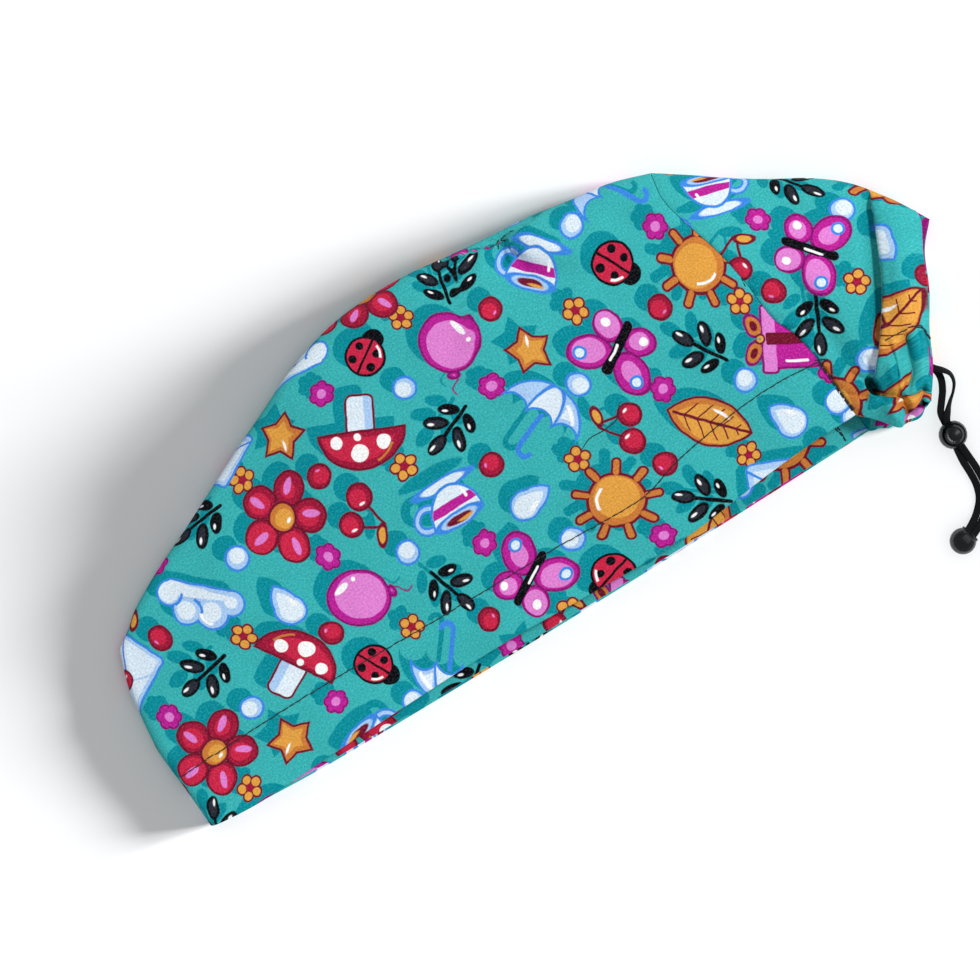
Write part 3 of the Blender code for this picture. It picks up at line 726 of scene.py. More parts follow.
class Thread:
    """Thread laid on the cloth, collected into one mesh."""

    def __init__(self, tree):
        self.tree = tree
        self.vertices, self.faces = [], []

    def drop(self, place, below):
        """Where a plan place meets the cloth from above or below, and the cloth's normal."""
        x, y, _ = to_world((place[0], place[1], 0.0))
        start = Vector((x, y, -0.02 if below else 0.08))
        way = Vector((0, 0, 1 if below else -1))
        point, normal, _, _ = self.tree.ray_cast(start, way)
        if point is None:
            return None
        return point, normal if normal.dot(way) < 0 else -normal

    def tube(self, points, normals, radii):
        """A closed tube through points, with a radius at each."""
        sides = THREAD_SIDES
        base = len(self.vertices)
        for k, point in enumerate(points):
            ahead, behind = points[min(k + 1, len(points) - 1)], points[max(k - 1, 0)]
            way = (ahead - behind).normalized()
            across = way.cross(normals[k]).normalized()
            upward = across.cross(way).normalized()
            for side in range(sides):
                angle = 2 * math.pi * side / sides
                offset = across * math.cos(angle) + upward * math.sin(angle)
                self.vertices.append(point + offset * radii[k])
        for k in range(len(points) - 1):
            for side in range(sides):
                after = (side + 1) % sides
                row, up = base + k * sides, base + (k + 1) * sides
                self.faces.append((row + side, row + after, up + after, up + side))
        self.faces.append(tuple(base + side for side in reversed(range(sides))))
        last = base + (len(points) - 1) * sides
        self.faces.append(tuple(last + side for side in range(sides)))

    def lay(self, line, start, end, arch, radius, below=False, steps=6):
        """One stretch of thread between two shares of a line, its ends sunk in the cloth."""
        points, normals, radii = [], [], []
        for share in np.linspace(0, 1, steps):
            found = self.drop(line(start + (end - start) * share), below)
            if found is None:
                return
            point, normal = found
            sunk = 0.7 * abs(2 * share - 1) ** 5
            lift = radius * (0.4 + arch * math.sin(math.pi * share) - sunk)
            points.append(point + normal * lift * MM)
            normals.append(normal)
            radii.append(radius * MM * (0.75 + 0.25 * math.sin(math.pi * share)))
        self.tube(points, normals, radii)

    def stitches(self, rows, pitch, length, radius, slips, seed, below):
        """A row of stitches along a line, each slipped aside at random."""
        rng = np.random.default_rng(seed)
        line = Curve(rows)
        whole = np.linalg.norm(np.diff(line(np.linspace(0, 1, 200)), axis=0), axis=1).sum()
        count = int(whole / pitch)
        for k in range(count):
            slip = rng.normal(0, slips, 2)
            start = (k + 0.1) / count
            end = start + length / whole
            self.lay(lambda share: line(share) + slip, start, min(end, 1.0), 0.9, radius, below)

    def finish(self, name, material):
        return mesh_object(name, self.vertices, self.faces, [material])


def sew(cloths, material):
    """Every visible thread: hem, casing, bar tacks at the ear seam, pucker and a loose end."""
    tree = tree_of(*cloths)
    made = []
    for name, rows in SEWN.items():
        thread = Thread(tree)
        if name == "pucker_and_loose_thread":
            thread.lay(Curve(LOOSE_THREAD), 0, 1, 0.0, LOOSE_RADIUS, steps=36)
        for line, aside, up, *settings in rows:
            thread.stitches([(x + aside, y + up) for x, y in line], *settings)
        made.append(thread.finish(name, material))
    return made


def strand_route(lead, side):
    """A strand's points in metres from the buttonhole's mouth."""
    middle = np.array(SHARED_ROUTE)
    runs = np.gradient(middle[:, :2], axis=0)
    runs /= np.linalg.norm(runs, axis=1)[:, None]
    aside = side * np.array(STRANDS_ASIDE)[:, None] * np.column_stack([-runs[:, 1], runs[:, 0]])
    stacked = side * np.array(STRANDS_STACKED)[:, None]
    return np.concatenate([np.array(lead), middle + np.hstack([aside, stacked])])


def flat_cord(name, lead, side, twist, mouth, material):
    """One strand of flat woven elastic, as a mesh tube, with its centreline."""
    route = strand_route(lead, side)
    steps = np.linalg.norm(np.diff(route, axis=0), axis=1)
    places = np.concatenate([[0.0], np.cumsum(steps)]) / steps.sum()
    count, sides = int(steps.sum() / CORD_STEP), CORD_SIDES
    path = Curve(route, places)(np.linspace(0, 1, count + 1))
    path[:, 2] = np.maximum(path[:, 2], CORD_THICKNESS / 2 + CORD_LIFT)
    path[:, :2] += mouth
    ways = np.gradient(path, axis=0)
    ways /= np.linalg.norm(ways, axis=1)[:, None]
    across = np.cross(ways, (0, 0, 1))
    across /= np.linalg.norm(across, axis=1)[:, None]
    upward = np.cross(across, ways)
    roll = np.radians(np.interp(np.linspace(0, 1, count + 1), np.linspace(0, 1, len(twist)), twist))
    cosine, sine = np.cos(roll)[:, None], np.sin(roll)[:, None]
    across, upward = across * cosine + upward * sine, upward * cosine - across * sine
    angles = 2 * math.pi * np.arange(sides) / sides
    wide = CORD_WIDTH / 2 * np.sign(np.cos(angles)) * np.abs(np.cos(angles)) ** 0.7
    thick = CORD_THICKNESS / 2 * np.sign(np.sin(angles)) * np.abs(np.sin(angles)) ** 0.8
    length = np.concatenate([[0.0], np.cumsum(np.linalg.norm(np.diff(path, axis=0), axis=1))])
    edge = 1 + EDGE_RIB_DEPTH * np.sin(2 * math.pi * length / EDGE_RIB)
    points = (
        path[:, None]
        + across[:, None] * (wide * edge[:, None])[..., None]
        + upward[:, None] * thick[None, :, None]
    )
    index = np.arange((count + 1) * sides).reshape(count + 1, sides)
    after = np.roll(index, -1, axis=1)
    quads = np.stack([index[:-1], after[:-1], after[1:], index[1:]], axis=-1).reshape(-1, 4)
    faces = quads.tolist() + [index[0][::-1].tolist(), index[-1].tolist()]
    places = np.column_stack([np.repeat(length, sides), np.tile(wide, count + 1)])
    strand = mesh_object(name, points.reshape(-1, 3), faces, [material], "weave", places)
    return strand, path


class Value:
    """A number or vector in a node tree, with arithmetic. A step that repeats is made once."""

    made = {}

    def __init__(self, tree, socket):
        self.tree, self.socket = tree, socket

    def node(self, kind, operation, inputs, output=0, **settings):
        parts = [
            (place, item.socket if isinstance(item, Value) else item)
            for place, item in inputs.items()
        ]
        key = (self.tree.name, kind, operation, output, str(settings), str(parts))
        if key not in Value.made:
            made = self.tree.nodes.new(kind)
            if operation is not None:
                made.operation = operation
            for name, setting in settings.items():
                setattr(made, name, setting)
            for place, item in inputs.items():
                if isinstance(item, Value):
                    self.tree.links.new(item.socket, made.inputs[place])
                else:
                    made.inputs[place].default_value = item
            Value.made[key] = Value(self.tree, made.outputs[output])
        return Value.made[key]

    def math(self, operation, *others, clamp=False):
        return self.node(
            "ShaderNodeMath", operation, dict(enumerate((self, *others))), use_clamp=clamp
        )

    def vector(self, operation, *others, output=0):
        return self.node(
            "ShaderNodeVectorMath", operation, dict(enumerate((self, *others))), output
        )

    def __add__(self, other):
        return self.math("ADD", other)

    def __sub__(self, other):
        return self.math("SUBTRACT", other)

    def __mul__(self, other):
        return self.math("MULTIPLY", other)

    def __neg__(self):
        return self.math("MULTIPLY", -1.0)

    def least(self, *others):
        found = self
        for other in others:
            found = found.math("MINIMUM", other)
        return found

    def most(self, *others):
        found = self
        for other in others:
            found = found.math("MAXIMUM", other)
        return found

    def moved(self, x, y, turn=0.0):
        """The same plane with its centre moved to (x, y), and then turned."""
        plane = self.vector("SUBTRACT", (x, y, 0.0))
        return plane.turned(turn) if turn else plane

    def turned(self, degrees):
        """The same plane turned, so that a shape drawn on it turns by this angle."""
        return self.node(
            "ShaderNodeVectorRotate", None,
            {"Vector": self, "Angle": -math.radians(degrees)}, rotation_type="Z_AXIS",
        )

    def crossed(self, other):
        """The plane with this value as its x and another as its y."""
        return self.node("ShaderNodeCombineXYZ", None, {0: self, 1: other})

    def fold_x(self):
        """The plane folded on its y axis, so that both sides show what is drawn at +x."""
        return self.part(1, 0).math("ABSOLUTE").crossed(self.part(0, 1))

    def fold_y(self):
        """The plane folded on its x axis."""
        return self.part(1, 0).crossed(self.part(0, 1).math("ABSOLUTE"))

    def part(self, x, y):
        """The plane's coordinate along (x, y)."""
        return self.vector("DOT_PRODUCT", (x, y, 0.0), output=1)

    def disc(self, x, y, radius):
        return self.vector("DISTANCE", (x, y, 0.0), output=1) - radius

    def ring(self, x, y, radius, half_width):
        return self.disc(x, y, radius).math("ABSOLUTE") - half_width

    def oval(self, x, y, wide, tall, turn=0.0):
        """Roughly the distance from an oval with these radii."""
        scaled = self.moved(x, y, turn).vector("MULTIPLY", (1 / wide, 1 / tall, 0.0))
        size = min(wide, tall)
        return scaled.vector("LENGTH", output=1).math("MULTIPLY_ADD", size, -size)

    def bar(self, x, y, half_wide, half_tall, radius, turn=0.0):
        """The distance from a bar, whose round corners add their radius to its half sizes."""
        half_sizes = (half_wide, half_tall, 1.0)
        folded = self.moved(x, y, turn).vector("ABSOLUTE").vector("SUBTRACT", half_sizes)
        outside = folded.vector("MAXIMUM", (0.0, 0.0, 0.0))
        return outside.vector("LENGTH", output=1) - radius

    def sector(self, count):
        """The plane with its turn folded into one of count equal sectors round +x."""
        turn = self.part(0, 1).math("ARCTAN2", self.part(1, 0))
        share = (turn.math("MULTIPLY_ADD", count / (2 * math.pi), 0.5)).math("FRACT")
        angle = share.math("MULTIPLY_ADD", 2 * math.pi / count, -math.pi / count)
        reach = self.vector("LENGTH", output=1)
        return (angle.math("COSINE") * reach).crossed(angle.math("SINE") * reach)

    def cover(self):
        """1 inside a shape and 0 outside it, with a narrow soft edge."""
        return self.math("MULTIPLY_ADD", -0.5 / EDGE_SOFTNESS, 0.5, clamp=True)


def linear(code):
    """A colour in a shader's own scale, from its usual six-digit code."""
    parts = [int(code[k : k + 2], 16) / 255 for k in (0, 2, 4)]
    return tuple(
        (p / 12.92 if p <= 0.04045 else ((p + 0.055) / 1.055) ** 2.4) for p in parts
    ) + (1.0,)


TEAL = linear("3AB4B5")
TEAL_SHADOW = linear("00909C")
RED = linear("CF2548")
DEEP_RED = linear("A3163A")
WINE = linear("74102C")
AMBER = linear("E6A345")
ORANGE = linear("CF7D38")
PINK = linear("E383D4")
MAGENTA = linear("BE1F98")
PLUM = linear("8A0F70")
BLUE = linear("3C8AE6")
SKY = linear("ADCFF5")
ICE = linear("E2F0FA")
WHITE = linear("FFFFFF")
BLACK = linear("05060E")
GREY = linear("2A2C36")

# Wrong side and pale fibres of the cotton, then the dark and the light of what isn't printed
WRONG_SIDE, WRONG_SIDE_SHARE = linear("B9D2CB"), 0.62
FIBRE = linear("E4F2F0")
THREAD = linear("0A0B0E"), linear("2A2C33")
ELASTIC = linear("020304"), linear("111318")
PLASTIC = linear("030406"), linear("0C0E12")
TABLE = linear("F4F5F6"), linear("F8F8F8")

# How soft a printed edge is, and how wide a motif's line and its shaded side are
EDGE_SOFTNESS = 0.14
LINE = 0.85
SHADE = 2.1
SHADE_TILT = 0.075


def lit(edge, p, line, shade, fill):
    """A shape with a line round it, a shade inside that is wider on one side, and a fill."""
    tilted = edge + p.part(-SHADE_TILT, SHADE_TILT)
    return [(edge, line), (edge + LINE, shade), (tilted + SHADE, fill)]


def flower(p):
    edge = p.sector(5).oval(9.8, 0, 6.4, 5.9).least(p.disc(0, 0, 5.4))
    vein = p.sector(5).oval(10.6, 0.6, 3.0, 1.3)
    return [
        *lit(edge, p, WINE, DEEP_RED, RED), (vein, PINK),
        (p.disc(0, 0, 5.4), WINE), (p.disc(0, 0, 4.5), ORANGE),
        (p.disc(0.6, 0.5, 3.3), AMBER), (p.oval(1.8, 1.8, 1.1, 0.6, -45), WHITE),
    ]


def cloud(p):
    edge = p.disc(-10.8, -1.8, 4.9).least(
        p.disc(-4.6, 3.0, 6.2), p.disc(4.2, 4.0, 5.4), p.disc(11.2, -1.0, 4.8),
        p.bar(0, -3.0, 10.6, 1.0, 2.6),
    )
    return [
        *lit(edge, p, BLUE, SKY, ICE),
        (p.ring(-4.6, 3.0, 3.9, 0.5).most(p.disc(-2.2, 6.6, 3.4)), WHITE),
        (p.ring(4.2, 4.0, 5.2, 0.45).most(p.disc(-0.4, 0.8, 3.0)), BLUE),
        (p.ring(11.2, -1.0, 4.6, 0.45).most(p.disc(7.0, 0.6, 2.6)), BLUE),
    ]


def leaf(p):
    edge = p.disc(0, -12.2, 20.6).most(p.disc(0, 12.2, 20.6))
    slant = p.part(1, 0) - p.part(0, 1).math("ABSOLUTE") * 0.8
    veins = (slant * (1 / 5.0)).math("PINGPONG", 0.5) * 5.0 - 0.32
    return [
        *lit(edge, p, WINE, ORANGE, AMBER), (veins.most(edge + 2.4), WINE),
        (p.bar(1.0, 0, 14.6, 0, 0.5), WINE), (p.oval(3.4, 3.6, 3.4, 0.6, -14), WHITE),
    ]


def balloon(p):
    edge = p.oval(0, 4.0, 10.6, 11.8).least(p.oval(0, -8.4, 2.6, 1.7))
    wave = (p.part(0, 1) * 0.8).math("SINE") * 1.2
    string = ((p.part(1, 0) + wave).math("ABSOLUTE") - 0.42).most(p.bar(0, -12.8, 3, 3.2, 0.1))
    shine = p.oval(4.6, 9.2, 1.2, 3.2, 34).least(p.disc(7.2, 4.2, 0.8))
    return [
        (edge.least(string), PLUM), *lit(edge, p, PLUM, MAGENTA, PINK)[1:], (shine, WHITE),
    ]


def mushroom(p):
    edge = p.oval(0, 0.4, 15.6, 13.6).most(p.part(0, -1) + 0.4)
    stem = p.bar(0, -5.0, 2.6, 4.6, 2.8)
    spots = p.disc(-7.4, 5.2, 2.5).least(p.disc(1.0, 8.2, 3.0), p.disc(9.0, 3.8, 2.2))
    return [
        (edge.least(stem), WINE), (stem + LINE, ICE), ((stem + LINE).most(p.part(1, 0) + 1.6), SKY),
        *lit(edge, p, WINE, DEEP_RED, RED), (spots.least(p.disc(1.4, 2.8, 1.3)), WHITE),
        (p.ring(0, 0.4, 11.9, 0.4).most(p.disc(-8.6, 9.6, 4.2)), ORANGE),
    ]


def butterfly(p):
    half, body = p.fold_x(), p.bar(0, 0, 0, 8.6, 1.7)
    wings = half.oval(8.0, 5.6, 8.4, 6.2, 32).least(half.oval(6.0, -5.6, 6.0, 5.2, -30))
    return [
        (wings.least(body), PLUM), *lit(wings, p, PLUM, MAGENTA, PINK)[1:],
        (half.disc(10.8, 7.4, 2.5), BLUE), (half.disc(10.8, 7.4, 1.6), ICE),
        (half.disc(7.2, -6.4, 1.6), WHITE),
        (body, BLACK), (p.bar(0.5, 1.8, 0, 3.0, 0.45), WHITE),
    ]


def sun(p):
    rays = p.sector(9).bar(12.2, 0, 1.8, 0, 1.9)
    return [
        (rays.least(p.disc(0, 0, 10.4)), WINE), (rays + LINE, ORANGE),
        (p.disc(0, 0, 9.3), ORANGE), (p.disc(0.9, -0.7, 7.7), AMBER),
        (p.ring(0, 0, 6.7, 0.5).most(p.disc(4.6, 4.8, 4.0)), WHITE),
    ]


def envelope(p):
    edge = p.bar(0, 0, 12.8, 8.2, 2.2)
    half = p.fold_x()
    flap = (half.part(-0.56, 0.83) + 1.4).math("ABSOLUTE") - 0.45
    tuck = (half.part(0.62, 0.78) + 2.2).math("ABSOLUTE") - 0.35
    return [
        (edge, BLUE), (edge + LINE, SKY),
        (edge.most(p.bar(0.9, -0.8, 12.8, 8.2, 2.2)) + SHADE, ICE),
        (tuck.most(edge + 1.6, half.part(-0.56, 0.83) + 1.4), SKY), (flap.most(edge + 0.6), BLUE),
        (p.disc(0, -1.0, 3.4), WINE), (p.disc(0, -1.0, 2.6), RED),
        (p.oval(0.8, -0.2, 0.9, 0.5, -40), WHITE),
    ]


def gift(p):
    box, lid = p.bar(0, -4.2, 9.4, 7.4, 1.6), p.bar(0, 4.8, 11.0, 1.8, 1.4)
    loops = p.fold_x().oval(4.8, 10.4, 4.9, 3.3, 26)
    band = p.bar(0, -3.0, 1.6, 8.4, 0.6)
    return [
        (box.least(lid, loops), PLUM), (box + LINE, MAGENTA),
        ((box + LINE).most(p.bar(1.4, -5.4, 9.4, 7.4, 1.6)) + 1.0, PINK),
        (lid + LINE, PINK), (band, WINE), (band + 0.8, AMBER),
        (loops + LINE, ORANGE), (loops + 2.0, WINE), (p.disc(0, 8.2, 2.0), WINE),
        (p.disc(0, 8.2, 1.3), AMBER), (p.bar(-8.0, -4.6, 0, 3.6, 0.5), WHITE),
    ]


def umbrella(p):
    scallops = p.fold_x().disc(10.4, -0.8, 5.2).least(p.disc(0, -0.8, 5.2))
    edge = p.disc(0, 0, 15.6).most(p.part(0, -1), -scallops)
    hook = p.ring(2.4, -11.2, 2.4, 0.95).most(p.part(0, 1) + 11.0)
    inner = p.oval(0, 0, 5.6, 15.9)
    return [
        (edge.least(p.bar(0, -4.2, 0, 7.0, 0.95), hook), BLUE), (edge + LINE, SKY),
        ((edge + LINE).most(inner), ICE), ((edge + 2.2).most(p.part(-1, 0) + 6.0), ICE),
        ((inner.math("ABSOLUTE") - 0.45).most(edge + 0.5), BLUE),
        (p.ring(0, 0, 12.4, 0.5).most(p.disc(8.8, 9.0, 4.0)), WHITE),
    ]


def teacup(p):
    bowl = p.oval(-1.6, 4.6, 9.8, 12.6).most(p.part(0, 1) - 4.6)
    rim, saucer = p.oval(-1.6, 4.6, 9.8, 3.0), p.oval(-1.2, -8.6, 12.4, 2.5)
    handle = p.ring(8.4, -0.2, 3.9, 1.5)
    stripe = ((p.part(0, 1) + 0.6).math("ABSOLUTE") - 1.6).most(bowl + LINE)
    return [
        (bowl.least(rim, saucer, handle), BLUE), (handle + LINE, SKY), (saucer + LINE, ICE),
        (bowl, BLUE), (bowl + LINE, ICE), (stripe, MAGENTA), (rim, BLUE), (rim + LINE, SKY),
        (rim + 1.5, WINE), (p.oval(-4.0, 5.2, 3.0, 0.6), AMBER),
        (p.bar(-6.8, -2.6, 0, 1.6, 0.5, 14), WHITE),
    ]


def sprig(p):
    half = p.fold_x()
    leaves = half.oval(5.0, 1.0, 4.6, 2.4, 38).least(half.oval(4.4, -5.6, 3.9, 2.1, 34))
    shape = leaves.least(p.oval(0, 7.0, 2.5, 4.2), p.bar(0, -2.8, 0, 7.2, 0.7))
    shine = half.oval(6.0, 2.4, 1.2, 0.5, 38).least(half.oval(5.2, -4.5, 1.0, 0.45, 34))
    return [
        (shape, BLACK), (half.oval(5.0, 1.2, 3.4, 1.3, 38).least(p.oval(0, 7.0, 1.5, 3.1)), GREY),
        (shine.least(p.oval(0.7, 8.8, 0.45, 1.2)), WHITE),
    ]


def star(p):
    edge = p.sector(5).fold_y().part(0.55, 0.835) - 5.2
    return [*lit(edge, p, WINE, ORANGE, AMBER), (p.oval(1.6, 3.0, 2.0, 0.5, 62), WHITE)]


def drop(p):
    point = p.disc(-5.8, -2.0, 10.8).most(p.disc(5.8, -2.0, 10.8), -p.part(0, 1) - 3.0)
    edge = point.least(p.disc(0, -3.4, 5.9))
    return [*lit(edge, p, BLUE, SKY, ICE), (p.oval(2.4, -1.2, 0.7, 2.2, 14), WHITE)]


def cherries(p):
    fruit = p.disc(-4.6, -4.2, 4.8).least(p.disc(5.0, -3.2, 4.5))
    stems = p.bar(-1.8, 2.6, 0.1, 5.2, 0.4, -22).least(p.bar(3.2, 3.2, 0.1, 4.6, 0.4, 24))
    blade = p.oval(4.0, 8.0, 4.4, 2.1, 20)
    shine = p.oval(-3.0, -2.4, 1.1, 0.5, -40).least(p.oval(6.4, -1.6, 1.0, 0.45, -40))
    return [
        (fruit.least(stems, blade), WINE), (fruit + 0.9, DEEP_RED),
        (p.disc(-4.1, -4.6, 3.1).least(p.disc(5.4, -3.6, 2.9)), RED),
        (blade + 0.85, AMBER), (shine, WHITE),
    ]


def ladybird(p):
    half = p.fold_x()
    shell, head = p.disc(0, -0.6, 7.6), p.disc(0, 6.6, 3.9)
    spots = half.disc(3.4, 2.0, 1.5).least(half.disc(3.6, -3.6, 1.6))
    return [
        (shell.least(head), BLACK), (shell + 0.9, RED),
        (spots.least(p.bar(0, -1, 0, 7, 0.45)).most(shell), BLACK),
        (p.ring(0, -0.6, 5.7, 0.45).most(p.disc(4.6, 4.0, 2.6)), WHITE),
    ]


def round_dot(p, line, shade, fill):
    return [(p.disc(0, 0, 4.6), line), (p.disc(0, 0, 3.7), shade), (p.disc(0.6, -0.5, 2.8), fill)]


def berry(p):
    return [*round_dot(p, WINE, DEEP_RED, RED), (p.oval(1.5, 1.5, 0.8, 0.4, -40), PINK)]


def bead(p):
    return round_dot(p, BLUE, SKY, ICE)


def rosette(p, count, reach, line, fill, heart_radius, heart):
    petals = p.sector(count).disc(reach, 0, 2.2)
    return [
        (petals.least(p.disc(0, 0, 2)), line), (petals + 0.7, fill),
        (p.disc(0, 0, heart_radius), heart),
    ]


def blossom(p):
    return rosette(p, 5, 2.9, WINE, AMBER, 1.4, DEEP_RED)


def petal_dot(p):
    return rosette(p, 6, 2.7, PLUM, MAGENTA, 1.7, PINK)


LARGE = [
    flower, envelope, leaf, butterfly, teacup, mushroom, cloud, gift, sun, umbrella, balloon,
]
MEDIUM = [sprig, star, ladybird, sprig, drop, cherries]

# Where motifs repeat. Columns: offset in cells, motifs, how their order runs over the cells,
# and how far they stray in millimetres.
LATTICES = [
    ((0.5, 0.0), [berry, bead], (1, 1), 2.0),
    ((0.0, 0.5), [blossom, petal_dot], (1, 1), 2.0),
    ((0.5, 0.5), MEDIUM, (1, 2), 3.0),
    ((0.0, 0.0), LARGE, (5, 1), 2.6),
]

# The print's repeat: two steps from motif to motif, and how far the darker shadow lies off.
# Then the unevenness of the drawing and of the cloth: waves to the millimetre, and reach.
REPEAT_A = (40.0, 9.0)
REPEAT_B = (-12.0, 38.0)
SHADOW_SHIFT = (-2.0, 4.9)
HAND_SCALE, HAND_REACH = 0.16, 1.1
DRIFT_SCALE, DRIFT_REACH = 0.011, 11.0

# How the print lies on the sheets of each panel: its turn, and its shift in millimetres
FRONT_PRINT = {"near": (0.0, (0, 0)), "far": (math.pi, (31, 178))}
BACK_PRINT = {"near": (-0.1, (-12, 95)), "far": (2.3, (64, 40))}

# Cotton: how far apart its threads lie in millimetres and how high they stand in metres, then
# its slubs and blotches: how many there are to the millimetre and how much they change the dye
WEAVE_PITCH, WEAVE_RELIEF = 0.62, 0.00012
SLUB_SCALE, SLUB_DEPTH = 1.4, 0.90
BLOTCH_SCALE, BLOTCH_DEPTH = 0.09, 0.16

# Lights. Columns: name, the direction it comes from (right and up in the picture, degrees over
# the table), its width in degrees, power.
TABLE_LIGHTS = [
    ("upper_table_light", 1.0, 0.32, 9.8, 8.5, 6.2),
    ("lower_table_light", 1.0, 0.16, 9.8, 8.5, 6.2),
]
CAP_LIGHT = ("cap_light", 0.6, 0.42, 55.0, 14.0, 2.15)
SKY_COLOUR, SKY_STRENGTH = (0.97, 0.985, 1.0, 1.0), 0.46
TABLE_HALF_SIZE, TABLE_DROP = 4.0, 0.0002


def mixed(base, paint, share):
    """Paint over a base colour by a share. Base and paint are each a colour or a value."""
    tree = share.tree
    node = tree.nodes.new("ShaderNodeMix")
    node.data_type = "RGBA"
    for socket, item in ((node.inputs[6], base), (node.inputs[7], paint)):
        if isinstance(item, Value):
            tree.links.new(item.socket, socket)
        else:
            socket.default_value = item
    tree.links.new(share.socket, node.inputs[0])
    return Value(tree, node.outputs[2])


def noise_texture(place, scale, detail, output="Fac"):
    """A noise with this many features to the unit of place."""
    node = place.tree.nodes.new("ShaderNodeTexNoise")
    node.inputs["Scale"].default_value = scale
    node.inputs["Detail"].default_value = detail
    place.tree.links.new(place.socket, node.inputs["Vector"])
    return Value(place.tree, node.outputs[output])


def new_group(name, inlets, outlets):
    """A node group, with its inlets as values and its outlets' sockets."""
    tree = bpy.data.node_groups.new(name, "ShaderNodeTree")
    for inlet, kind in inlets.items():
        tree.interface.new_socket(inlet, in_out="INPUT", socket_type="NodeSocket" + kind)
    for outlet, kind in outlets.items():
        tree.interface.new_socket(outlet, in_out="OUTPUT", socket_type="NodeSocket" + kind)
    start, end = tree.nodes.new("NodeGroupInput"), tree.nodes.new("NodeGroupOutput")
    values = [Value(tree, start.outputs[k]) for k in range(len(inlets))]
    return tree, values, end.inputs


def motif_group(motif):
    """A node group that paints one motif over what is there."""
    tree, (plane, pick, colour), ends = new_group(
        "motif_" + motif.__name__,
        {"Plane": "Vector", "Pick": "Float", "Color": "Color"}, {"Color": "Color"},
    )
    (edge, picture), *layers = motif(plane)
    for distance, paint in layers:
        picture = mixed(picture, paint, distance.cover())
    tree.links.new(mixed(colour, picture, edge.cover() * pick).socket, ends[0])
    return tree


def shadow_group(motif):
    """A node group that adds one motif's printed shadow to those that are there."""
    tree, (plane, pick, shade), ends = new_group(
        "shadow_" + motif.__name__,
        {"Plane": "Vector", "Pick": "Float", "Shade": "Float"}, {"Shade": "Float"},
    )
    silhouette, _ = motif(plane)[0]
    tree.links.new(shade.most(silhouette.cover() * pick).socket, ends[0])
    return tree


class Lattice:
    """One motif in every cell of the print's repeat, moved by an offset in cells."""

    def __init__(self, place, offset, motifs, order, wobble):
        (ax, ay), (bx, by) = REPEAT_A, REPEAT_B
        area = ax * by - ay * bx
        self.motifs = motifs
        s = place.part(by / area, -bx / area) + offset[0]
        t = place.part(-ay / area, ax / area) + offset[1]
        cell_place = s.crossed(t)
        cell = cell_place.vector("FLOOR")
        within = cell_place.vector("FRACTION").vector("SUBTRACT", (0.5, 0.5, 0.0))
        local = within.part(ax, bx).crossed(within.part(ay, by))
        noise = place.tree.nodes.new("ShaderNodeTexWhiteNoise")
        seeded = cell.vector("ADD", (*offset, float(len(motifs))))
        place.tree.links.new(seeded.socket, noise.inputs["Vector"])
        shift = Value(place.tree, noise.outputs["Color"]).vector("SUBTRACT", (0.5, 0.5, 0.5))
        centre = local.vector("ADD", shift.vector("MULTIPLY", (wobble, wobble, 0.0)))
        angle = Value(place.tree, noise.outputs["Value"]) * (2 * math.pi)
        self.plane = self.spun(centre, angle)
        self.shadow_plane = self.spun(centre.moved(*SHADOW_SHIFT), angle)
        self.index = cell.part(*order).math("FLOORED_MODULO", float(len(motifs)))

    @staticmethod
    def spun(plane, angle):
        return plane.node(
            "ShaderNodeVectorRotate", None, {"Vector": plane, "Angle": angle},
            rotation_type="Z_AXIS",
        )

    def pick(self, motif):
        """1 in the cells that have this motif and 0 in the others."""
        numbers = [float(k) for k, other in enumerate(self.motifs) if other is motif]
        picked = self.index.math("COMPARE", numbers[0], 0.4)
        for number in numbers[1:]:
            picked = picked + self.index.math("COMPARE", number, 0.4)
        return picked


def print_group():
    """The print as a node group: a place in millimetres in, the dyed colour out."""
    motifs = dict.fromkeys(motif for row in LATTICES for motif in row[1])
    paints = {motif: motif_group(motif) for motif in motifs}
    shadows = {motif: shadow_group(motif) for motif in motifs}
    tree, (place,), ends = new_group("cotton_print", {"Place": "Vector"}, {"Color": "Color"})
    hand = noise_texture(place, HAND_SCALE, 1.0, "Color").vector("SUBTRACT", (0.5, 0.5, 0.5))
    drift = noise_texture(place, DRIFT_SCALE, 0.0, "Color").vector("SUBTRACT", (0.5, 0.5, 0.5))
    place = place.vector("ADD", hand.vector("MULTIPLY", (HAND_REACH, HAND_REACH, 0.0)))
    place = place.vector("ADD", drift.vector("MULTIPLY", (DRIFT_REACH, DRIFT_REACH, 0.0)))
    lattices = [Lattice(place, *row) for row in LATTICES]

    def added(groups, plane_of, ground):
        for lattice in lattices:
            for motif in dict.fromkeys(lattice.motifs):
                node = tree.nodes.new("ShaderNodeGroup")
                node.node_tree = groups[motif]
                for k, value in enumerate((plane_of(lattice), lattice.pick(motif), ground)):
                    tree.links.new(value.socket, node.inputs[k])
                ground = Value(tree, node.outputs[0])
        return ground

    shaded = added(shadows, lambda lattice: lattice.shadow_plane, place.part(0.0, 0.0))
    ground = mixed(TEAL, TEAL_SHADOW, shaded)
    painted = added(paints, lambda lattice: lattice.plane, ground)
    tree.links.new(painted.socket, ends[0])
    return tree


def new_material(name):
    """A material with its tree and its main shader."""
    material = bpy.data.materials.new(name)
    material.use_nodes = True
    return material, material.node_tree, material.node_tree.nodes["Principled BSDF"]


def source(tree, kind, output):
    """What a node without inputs gives."""
    return Value(tree, tree.nodes.new(kind).outputs[output])


def on_map(tree, name):
    """The place in millimetres on the piece's own texture map."""
    uv = tree.nodes.new("ShaderNodeUVMap")
    uv.uv_map = name
    return Value(tree, uv.outputs[0]).vector("MULTIPLY", (1000.0, 1000.0, 0.0))


